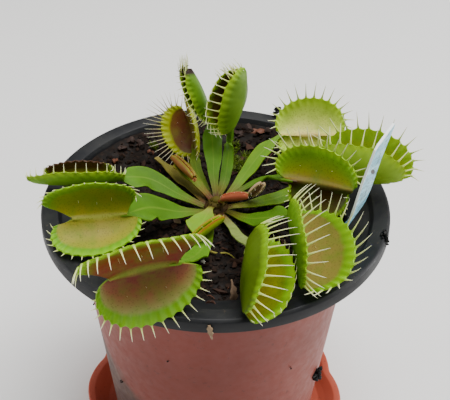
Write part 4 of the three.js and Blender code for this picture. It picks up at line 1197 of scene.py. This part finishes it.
COLOURS = {
    "leaf_front_left": skin(
        inside="#808420 #781e06 #703005 #645008 #6c9103 #82a805",
        far="#807c24 #6c2818 #845034 #848040 #649404 #6c9c02",
        outside="#4d790b #6d9910 #83ad08", stalk=DEEP_STALK, zone=0.86),
    "leaf_left_open": skin(
        inside="#a09a40 #948a1e #808004 #748208 #5e8800 #7aa503",
        far="#a8a644 #988b31 #968b2b #8c8b27 #5e9203 #77ac04",
        outside="#527f11 #74a412 #83b009", stalk=FRESH_STALK, zone=0.86),
    "leaf_left_closed": skin(
        inside="#a08f3e #988b2e #949331 #8c9f2e #6c9a0a #8eac0f",
        outside="#5a8917 #76a41a #8db011", stalk=FRESH_STALK),
    "leaf_front_middle": skin(
        inside="#6c4b0a #5c5305 #5c6300 #647300 #678f03 #81a804",
        far="#8c6b17 #806b0a #726f00 #6c7b00 #658f01 #7da804",
        outside="#3c4c00 #4a6200 #76a004", stalk="#74643c #8c9c54 #84983c", zone=0.88),
    "leaf_front_right": skin(
        inside="#7c7b17 #6c8b0a #60930a #60970a #699a03 #84ac06",
        far="#906f40 #806832 #7e6c32 #786e2e #658f03 #7aa804",
        outside="#4a7109 #65950b #7fa906", stalk=FRESH_STALK, zone=0.86),
    # The second lobe is painted a lighter lime than the first: painted light shining through it.
    "leaf_far_right": skin(
        inside="#8c6b24 #5c7b00 #5c8300 #649305 #7ba50e #8aaf0a",
        far="#8c6b24 #6c7b00 #7c8b02 #8c9f0d #82a812 #8eaf0e",
        outside="#79981a #91b32a #94b413", stalk=FRESH_STALK),
    # The second lobe's dark brown inside is partly its own red colour and partly painted shade, where it
    # hangs in shadow.
    "leaf_right": skin(
        inside="#6c5810 #6c5c08 #6c7c00 #709c00 #7cac03 #8eb208",
        far="#3c240a #352007 #3c2c07 #443f07 #5e7d05 #7d9b0a",
        outside="#426211 #678d15 #83a909", stalk=FRESH_STALK, zone=0.9),
    # Its inside is painted a pale, glowing lime: painted light shining through the lobe from behind.
    "leaf_back_right": skin(
        inside="#c4b060 #ccc868 #c4d05c #bcd44c #b4d038 #a8c824",
        outside="#799c1d #95b324 #97b714", stalk=DEEP_STALK),
    "leaf_back_middle": skin(
        inside="#5c3c20 #64401c #684c1c #6c581c #748f0e #9bb217",
        outside="#3f6010 #5e7e1c #8db00d", stalk=DEEP_STALK, zone=0.9),
    "leaf_back_tall": skin(
        inside="#5c3c18 #64441c #684c1c #6c5418 #748f12 #94af17",
        outside="#3d620b #5a8212 #83a611", stalk=DEEP_STALK, burnt="#33241c", zone=0.88),
    "leaf_back_left": skin(
        inside="#5c2c14 #5a2c11 #5c3311 #5c3f11 #82880c #98a10f",
        far="#6c4b17 #745f1a #847721 #948f27 #908f12 #98a10f",
        outside="#67710e #858912 #97a20f", stalk="#4c4818 #54741c #747c20", bristle="#b8a888",
        zone=0.78),
    "young_leaf_front": skin(
        inside="#a85c34 #a86438 #a87838 #989030 #7c9810 #8ca40c",
        outside="#7c9018 #8ca01c #a0501c", stalk="#84883c #6c9420 #88982c", bristle="#c8c878"),
    "young_leaf_back": skin(
        inside="#8c5028 #8c5028 #8c5028 #8c6028 #8c6028 #8c6028",
        outside="#743c18 #8c5c28 #7c7820", stalk="#64541c #5c7c18 #7c7020", bristle="#b08040"),
    "young_leaf_right": skin(
        inside="#ac8468 #ac8468 #ac8468 #ac9464 #ac9464 #ac9464",
        outside="#a07c64 #b09078 #a89868", stalk="#84843c #6c9028 #88883c", bristle="#c8b890"),
    "curled_bud": skin(
        inside="#84341c #84341c #84341c #8c3c20 #8c3c20 #8c3c20",
        outside="#843420 #a85840 #9c5430", stalk="#7c5c34 #7c6c28 #88502c", bristle="#a06038"),
    "spoon_leaf": skin(
        inside="#98843c #98843c #98843c #98843c #98843c #98843c",
        outside="#6c5a20 #8c7c30 #948428", stalk="#5c4c20 #747028 #9c8c48", midrib="#8c8038"),
}

# %% [markdown]
# Two traps have dying parts. The rear lobe of the flat left one has dried to a brown papery edge, and
# the tall back one has a black tip.

# %% Dead parts


def dried_edge(u, v):
    return smoothstep(-v, 0.35, 0.75) * smoothstep(u, 0.12, 0.3) * (1 - smoothstep(u, 0.8, 0.95))


def black_tip(u, v):
    return smoothstep(u + 0.1 * abs(v), 0.84, 0.93)


DEAD = {"leaf_left_closed": dried_edge, "leaf_back_tall": black_tip}

# %% Grow the leaves
long_bristle = bristle(6, 7)
short_bristle = bristle(4, 4)
for leaf in leaves:
    leaf["dead"] = DEAD.get(leaf["name"])
    trap = Trap(leaf) if "lobes" in leaf else None
    leaf_bm = new_mesh()
    add_mesh(leaf_bm, stalk_sheet(leaf, trap))
    if trap:
        add_mesh(leaf_bm, trap_blade(leaf, trap))
        add_spines(leaf_bm, leaf, trap, short_bristle if leaf["small"] else long_bristle)
    if trap and not leaf["small"]:
        add_triggers(leaf_bm, trap, short_bristle)
    if "tuft" in leaf:
        add_tuft(leaf_bm, leaf, trap, long_bristle)
    finish(leaf_bm, "grown_" + leaf["name"], leaf_finish(leaf["name"] + " skin", COLOURS[leaf["name"]]),
           leaf["name"], sharp=70)

# %% [markdown]
# ## The crown
#
# The leaves meet in a short fleshy crown, a low dome wrapped in the brown bases of old leaves. A turned
# body carries them in three tiers, each narrower than the one below it. Short ragged scales stand round
# it, laid from the same bristle that makes the spines, but thick and blunt.

# %% Crown


def crown_finish():
    look = Finish("crown flesh", 0.7, 0.12)
    height = look.node("ShaderNodeSeparateXYZ", 2, {0: look.place()})
    share = look.past(height, (RIDGE - 7) * METRES, 1 / (6 * METRES))
    tone = look.ramp(look.plus(share, look.times(look.noise(400), 0.3)),
                     [(0.2, "#120c06"), (0.5, "#241408"), (0.8, "#3c2c10"), (1.0, "#4c4414")])
    look.colour(tone)
    look.bump(look.noise(900, 3, 0.6), 0.4, 0.1)
    return look.material


def crown_shape():
    foot = RIDGE - 14
    profile = [
        (0, foot), (2.1, foot), (3.3, foot + 1.4), (3.3, RIDGE - 4.1), (2.9, RIDGE - 3.7),
        (2.3, RIDGE - 3.4), (2.2, RIDGE - 2.7), (1.9, RIDGE - 2.4), (1.3, RIDGE - 2.1),
        (1.2, RIDGE - 1.6), (0.7, RIDGE - 1.15), (0, RIDGE - 1),
    ]
    return turned(profile, 48, 0.12)


def add_scales(bm, count=26, seed=5):
    template = bristle(6, 4)
    rng = random.Random(seed)
    for i in range(count):
        angle = 2.4 * i
        radius = mixed(3.3, 1.2, i / count)
        top = mixed(-4.6, -1.9, i / count)
        way = around(angle, 1)
        across = Vector((-way.y, way.x, 0))
        root = above(way * (radius - 0.3) + Vector((0, 0, top)))
        tip = root + way * rng.uniform(0.5, 1.0) + Vector((0, 0, rng.uniform(0.4, 0.9)))
        bend = root + way * 0.5
        add_bristle(bm, template, root, bend, tip, across, rng.uniform(0.22, 0.34), 0.6, 0.3)


crown_bm = crown_shape()
add_scales(crown_bm)
finish(crown_bm, "fleshy_crown", crown_finish(), "crown", sharp=60)

# %% [markdown]
# ## Moss and litter
#
# The soil of a potted plant is never clean. Moss grows in small cushions, and there are yellow roots,
# fine threads, a curl of bark, bits of bark, dry husks and black crumbs. Some of the crumbs stick to the
# rim and the wall.
# They are small, so each is only a few faces, and one attribute, tone, picks its colour from a ramp.

# %% Moss
MOSS_CUSHIONS = [(3.9, 24.2, 2.0, 60), (4.4, 19.6, 1.6, 46), (6.4, 22.5, 2.0, 60), (-7.0, 24.6, 1.7, 44),
                 (-7.2, 20.8, 1.4, 32), (-19.0, 26.8, 1.2, 18), (4.2, 29.0, 2.0, 50), (7.4, 18.4, 1.4, 36),
                 (-1.2, 24.6, 1.1, 16), (8.6, 26.0, 1.4, 24)]
ACROSS = Vector((1, 0, 0))
STRAND_SIDE = Vector((0.2, 0.1, 1))


def add_moss(bm, leaflets=4, seed=21):
    template = bristle(4, 3)
    rng = random.Random(seed)
    for x, y, spread, shoots in MOSS_CUSHIONS:
        for _ in range(shoots):
            angle, reach = rng.uniform(0, 6.28), spread * math.sqrt(rng.random())
            root = on_soil(x + reach * math.cos(angle), y + reach * math.sin(angle), -0.1)
            for _ in range(leaflets):
                lean = Vector((rng.uniform(-0.9, 0.9), rng.uniform(-0.9, 0.9), rng.uniform(0.9, 1.8)))
                tip = root + lean * rng.uniform(0.8, 1.2)
                bend = root + Vector((0, 0, lean.z * 0.6))
                thick = rng.uniform(0.16, 0.26)
                add_bristle(bm, template, root, bend, tip, ACROSS, thick, 0.0, 0.4,
                            tone=rng.uniform(0.88, 1.0))


# %% Litter helpers
BLACK, DARK_BARK, ORANGE_BARK, BEIGE, WHITE, YELLOW = 0.06, 0.2, 0.34, 0.48, 0.62, 0.76
RIM_CLUMPS = [(42.0, -14.8, 0.2), (41.8, -16.2, -0.2), (42.0, -17.4, -0.8), (41.3, -16.0, 0.5)]
WALL_CRUMBS = [(-139, 38.2, 0.45), (-160, 58.0, 0.5), (-54.4, 53.1, 0.4), (-108, 61.0, 0.3)]
CHUNKS = [(6.6, 23.4, 1.0, ORANGE_BARK), (12.2, 35.2, 1.9, ORANGE_BARK), (9.4, 35.6, 1.7, DARK_BARK),
          (6.0, 35.0, 1.5, DARK_BARK), (15.2, 34.4, 1.3, DARK_BARK), (-1.0, -13.6, 1.1, ORANGE_BARK),
          (7.2, -4.6, 2.2, BLACK), (5.4, -6.6, 1.5, BLACK), (3.6, -5.0, 1.2, BLACK),
          (-23.2, 27.0, 1.2, DARK_BARK), (-26.0, 27.2, 1.4, DARK_BARK), (-19.9, 24.4, 0.9, ORANGE_BARK),
          (-28.2, 23.4, 1.3, DARK_BARK), (-21.5, 31.4, 1.3, DARK_BARK), (-29.6, 18.4, 1.0, ORANGE_BARK)]
OVER_RIM = [(-0.5, -45.9, -0.6), (-0.4, -46.2, -1.4), (-0.2, -46.3, -3.0), (0.1, -46.3, -4.4)]
UPRIGHT = [(4.9, -33.0, -6.2), (4.6, -33.0, -3.8), (4.3, -32.6, -1.6), (4.1, -32.2, -0.2)]
LOW_CURL = [(-1.8, -36.2, -4.2), (-0.4, -35.8, -3.6), (0.6, -36.4, -4.0), (1.2, -37.0, -4.4)]
HUSKS = [(OVER_RIM, 0.6, BEIGE, 0.6), (UPRIGHT, 0.9, BEIGE - 0.03, 1.4),
         (LOW_CURL, 0.3, DARK_BARK + 0.06, 1.4)]


def heap(bm, template, spots, size, count, tone, rng):
    for spot in spots:
        for _ in range(count):
            place = spot + scatter(rng, size)
            squash = (1, rng.uniform(0.6, 1), rng.uniform(0.5, 0.9))
            grain, shade = size * rng.uniform(0.4, 0.8), tone * rng.uniform(0.8, 1.1)
            add_crumb(bm, template, place, grain, squash, shade, rng)


def on_wall(degrees, height, size):
    return around(math.radians(degrees), outer_radius(height) + 0.3 * size, height)


def bark_curl(centre, radius=1.9, turn=5.0, rise=1.7):
    """A strip of bark that has rolled up round an upright axis."""
    bm = new_mesh()
    chain(bm, [(radius, 0, height) for height in (0, rise / 2, rise)])
    bmesh.ops.spin(bm, geom=bm.edges[:] + bm.verts[:], cent=(0.3, 0, 0), axis=(0, 0.2, 1), steps=18,
                   angle=turn)
    bmesh.ops.recalc_face_normals(bm, faces=bm.faces)
    bmesh.ops.solidify(bm, geom=bm.faces[:], thickness=0.5)
    for vert in bm.verts:
        vert.co = vert.co * (1 + 0.12 * noise.noise(vert.co)) + centre
        set_values(bm, vert, tone=BEIGE - 0.02)
    return bm


def husk(points, wide, tone, twist):
    """A dry scale that follows a path and folds along its middle."""
    path = EvenPath([above(point) for point in points])

    def place(bm, vert, u, v, side):
        centre, forward = path.at(u), path.way(u)
        across = Matrix.Rotation(twist * u, 3, forward) @ ACROSS
        across = (across - forward * across.dot(forward)).normalized()
        normal = across.cross(forward)
        ragged = 1 + 0.25 * math.sin(19 * u + 3 * v)
        half = wide * (0.25 + math.sin(math.pi * min(1, u + 0.1)) * 0.75) * ragged
        vert.co = centre + across * v * half + normal * (0.12 * side + 0.35 * half * abs(v))
        set_values(bm, vert, tone=tone)

    return closed_sheet(14, 6, place)


# %% Litter


def add_litter(bm, threads=150, chunk_pieces=3, seed=8):
    rng = random.Random(seed)
    pebble = round_crumb()
    thread = bristle(6, 9)

    def strand(points, thick, tone, blunt=0.7):
        add_bristle(bm, thread, *points, STRAND_SIDE, thick, 0.0, blunt, tone=tone)

    strand((on_soil(-2.6, -15.4, 0.1), on_soil(-0.6, -18.0, 1.2), on_soil(1.6, -17.6, 0.5)), 0.3, YELLOW)
    strand((on_soil(1.5, -17.6, 0.5), on_soil(3.4, -17.2, 0.9), on_soil(5.2, -18.8, 0.1)), 0.26, YELLOW, 0.4)
    on_trap = (Vector((14.0, -32.2, 90.4)), Vector((15.6, -36.2, 90.6)), Vector((12.8, -38.2, 89.2)))
    strand(on_trap, 0.1, BLACK)
    for _ in range(threads):
        root = lying_spot(rng, 6, 33)
        way = Vector((rng.uniform(-1, 1), rng.uniform(-1, 1), 0)) * rng.uniform(1.0, 3.4)
        inside = (root + way).xy.length < 33
        tip = on_soil(root.x + way.x, root.y + way.y, 0.1) if inside else root + way * 0.3
        bend = root.lerp(tip, 0.5) + Vector((0, 0, rng.uniform(0.3, 1.4)))
        thick, tone = rng.uniform(0.05, 0.13), rng.choice((DARK_BARK, DARK_BARK, ORANGE_BARK, BLACK))
        strand((root, bend, tip), thick, tone)

    add_crumb(bm, pebble, on_soil(-2.8, -20.5, 0.5), 0.75, (1, 0.9, 0.9), WHITE, rng)
    add_mesh(bm, bark_curl(on_soil(-9.8, -5.4, 0.9)))
    for x, y, size, tone in CHUNKS:
        for _ in range(chunk_pieces):
            spot = on_soil(x, y, 0.3 * size) + scatter(rng, 0.5 * size)
            add_crumb(bm, pebble, spot, size, (1, rng.uniform(0.5, 0.8), rng.uniform(0.4, 0.7)), tone, rng)

    heap(bm, pebble, [Vector((x, y, RIDGE + z)) for x, y, z in RIM_CLUMPS], 0.75, 12, BLACK, rng)
    back_rim = [Vector((17.2 + 0.3 * i, 41, RIDGE + 1.1 * i)) for i in range(3)]
    heap(bm, pebble, back_rim, 0.8, 12, BLACK, rng)
    for degrees, height, size in WALL_CRUMBS:
        heap(bm, pebble, [on_wall(degrees, height, size)], size, 5, BLACK, rng)
    # A dense heap of black crumbs low on the front right of the wall, which makes that part dark.
    corner = [on_wall(-29, 35, 1.5), on_wall(-27, 34, 1.4), on_wall(-28, 36.5, 1.2)]
    heap(bm, pebble, corner, 1.1, 16, BLACK, rng)

    for husk_values in HUSKS:
        add_mesh(bm, husk(*husk_values))


def litter_finish():
    look = Finish("moss and litter", 0.75, 0.3)
    tone = look.ramp(look.attribute("tone"), [
        (0.1, "#0d0b0a"), (0.16, "#20140e"), (0.24, "#3c261c"), (0.32, "#5c3422"), (0.38, "#74442c"),
        (0.44, "#8c7058"), (0.52, "#a8906c"), (0.58, "#d0c8b4"), (0.66, "#dcd8c8"), (0.72, "#8c8430"),
        (0.82, "#98903c"), (0.88, "#303c06"), (1.0, "#6c8414")])
    grain = look.noise(800, 4, 0.65)
    look.colour(look.mix(look.times(grain, 0.6), tone, look.mix(0.75, tone, "#0c0804")))
    look.roughness(look.ramp(grain, [(0.3, 0.5), (0.7, 0.85)]))
    look.bump(grain, 0.6, 0.15)
    return look.material


litter_bm = new_mesh()
add_moss(litter_bm)
add_litter(litter_bm)
finish(litter_bm, "moss_and_litter", litter_finish(), sharp=50)

# %% [markdown]
# ## The plant label
#
# The label is a strip of thin plastic with a pointed foot, pushed into the soil beside the wall. It is
# another closed sheet, narrowed towards its foot. Its face is bare pale blue. It has been in use for a
# while, so it has fine dark scratches, specks of peat and one slanted black smudge. Its left and upper
# edges are painted white, a painted highlight where they catch the light.

# %% Label
LABEL_PATH = [(25.2, -7.4, -24), (30, -10.7, -6), (33.9, -13.5, 4), (35.7, -16.6, 21), (36.8, -18.4, 31)]
LABEL_ACROSS = Vector((0.5, 0.87, 0))
LABEL = {"width": 11.2, "foot": 3, "point": 32, "corner": 1.2, "half_thick": 0.25}
LABEL_SPOT = {"along": 0.79, "reach": 0.12, "size": 2.3}


def label_shape():
    path = EvenPath([above(point) for point in LABEL_PATH])
    length = path.lengths[-1]

    def place(bm, vert, u, v, side):
        centre, forward = path.at(u), path.way(u)
        across = (LABEL_ACROSS - forward * LABEL_ACROSS.dot(forward)).normalized()
        normal = across.cross(forward)
        half = mixed(LABEL["foot"], LABEL["width"], min(1.0, u * length / LABEL["point"])) / 2
        corner = LABEL["corner"]
        cut = max(0.0, corner - (1 - u) * length)
        half -= corner - math.sqrt(max(0.0, corner**2 - cut**2))
        vert.co = centre + across * v * half + normal * LABEL["half_thick"] * side
        set_values(bm, vert, along=u, reach=v, inner=1.0 if side == 1 else 0.0)

    return closed_sheet(72, 8, place)


def label_finish():
    look = Finish("label plastic", 0.42, 0.35)
    along, reach = look.attribute("along"), look.attribute("reach")
    slanted = look.plus(look.times(reach, 1.2), look.times(along, 24.0))
    streak = look.node("ShaderNodeCombineXYZ", 0, {0: look.times(reach, 0.5), 1: slanted})
    blue_stops = [(0.35, "#70b4cc"), (0.5, "#8cc8da"), (0.65, "#b0e0e8")]
    tone = look.ramp(look.noise(0.8, 3, 0.6, streak), blue_stops)
    contour = look.math("ABSOLUTE", look.minus(look.noise(1.4, 2, 0.6, streak), 0.5))
    lines = look.past(1 / 16, contour, 16.0)
    low = look.past(0.86, along, 6.0)
    tone = look.mix(look.times(look.times(lines, low), 0.6), tone, "#244a5c")
    specks = look.specks(800, 0.62)
    tone = look.mix(look.times(specks, 0.75), tone, "#22303a")
    away = look.times(look.minus(along, LABEL_SPOT["along"]), 60.0)
    aside = look.times(look.minus(reach, LABEL_SPOT["reach"]), 5.6)
    narrow = look.plus(away, look.times(aside, 1.79))
    lengthy = look.plus(look.times(away, 2.83), look.times(aside, 2.41))
    narrow_square = look.times(narrow, narrow)
    squares = look.plus(narrow_square, look.times(lengthy, lengthy))
    tone = look.mix(look.math("LESS_THAN", squares, LABEL_SPOT["size"] ** 2), tone, "#06080c")
    # Painted highlight: the left and upper edges are painted near-white.
    left_edge_highlight = look.math("LESS_THAN", reach, -0.96)
    top_edge_highlight = look.math("GREATER_THAN", along, 0.99)
    look.colour(look.mix(look.math("MAXIMUM", left_edge_highlight, top_edge_highlight), tone, "#f4f8f8"))
    look.bump(look.noise(500, 2, 0.5), 0.15, 0.05)
    return look.material


finish(label_shape(), "bare_label", label_finish(), "plant_label")

# %% [markdown]
# ## The floor and the light
#
# The plant stands on a wide pale surface. Most light comes from a large soft source high above it, and
# two weaker ones at the sides brighten the pot where it turns away. The front of the pot is in shade,
# and the floor falls off a little towards the front left. A weak even sky fills in the rest.

# %% Floor and light


def pale_floor():
    bm = bmesh.new()
    bmesh.ops.create_grid(bm, x_segments=1, y_segments=1, size=3)
    mesh = bpy.data.meshes.new("floor")
    bm.to_mesh(mesh)
    bm.free()
    look = Finish("pale floor", 0.8, 0.2)
    look.shader.inputs["Base Color"].default_value = linear("#e4e3e0")
    mesh.materials.append(look.material)
    floor = bpy.data.objects.new("floor", mesh)
    bpy.context.scene.collection.objects.link(floor)


def soft_light(name, spot, aim, size, power):
    data = bpy.data.lights.new(name, "AREA")
    data.shape = "DISK"
    data.size = size
    data.energy = power
    lamp = bpy.data.objects.new(name, data)
    lamp.location = spot
    lamp.rotation_euler = (Vector(aim) - Vector(spot)).to_track_quat("-Z", "Y").to_euler()
    bpy.context.scene.collection.objects.link(lamp)


def sky(strength):
    world = bpy.data.worlds.new("sky")
    world.use_nodes = True
    background = world.node_tree.nodes["Background"]
    background.inputs["Color"].default_value = linear("#e6e8ea")
    background.inputs["Strength"].default_value = strength
    bpy.context.scene.world = world


LIGHTS = [("high window", (0.2, 0.05, 1.05), (0, 0, 0.08), 0.9, 20),
          ("right window", (0.9, 0.1, 0.22), (0, 0, 0.05), 0.4, 6),
          ("left window", (-0.9, 0.0, 0.22), (0, 0, 0.05), 0.4, 4)]
pale_floor()
for light in LIGHTS:
    soft_light(*light)
sky(0.38)

# %% The end
print("pieces:", len(made))
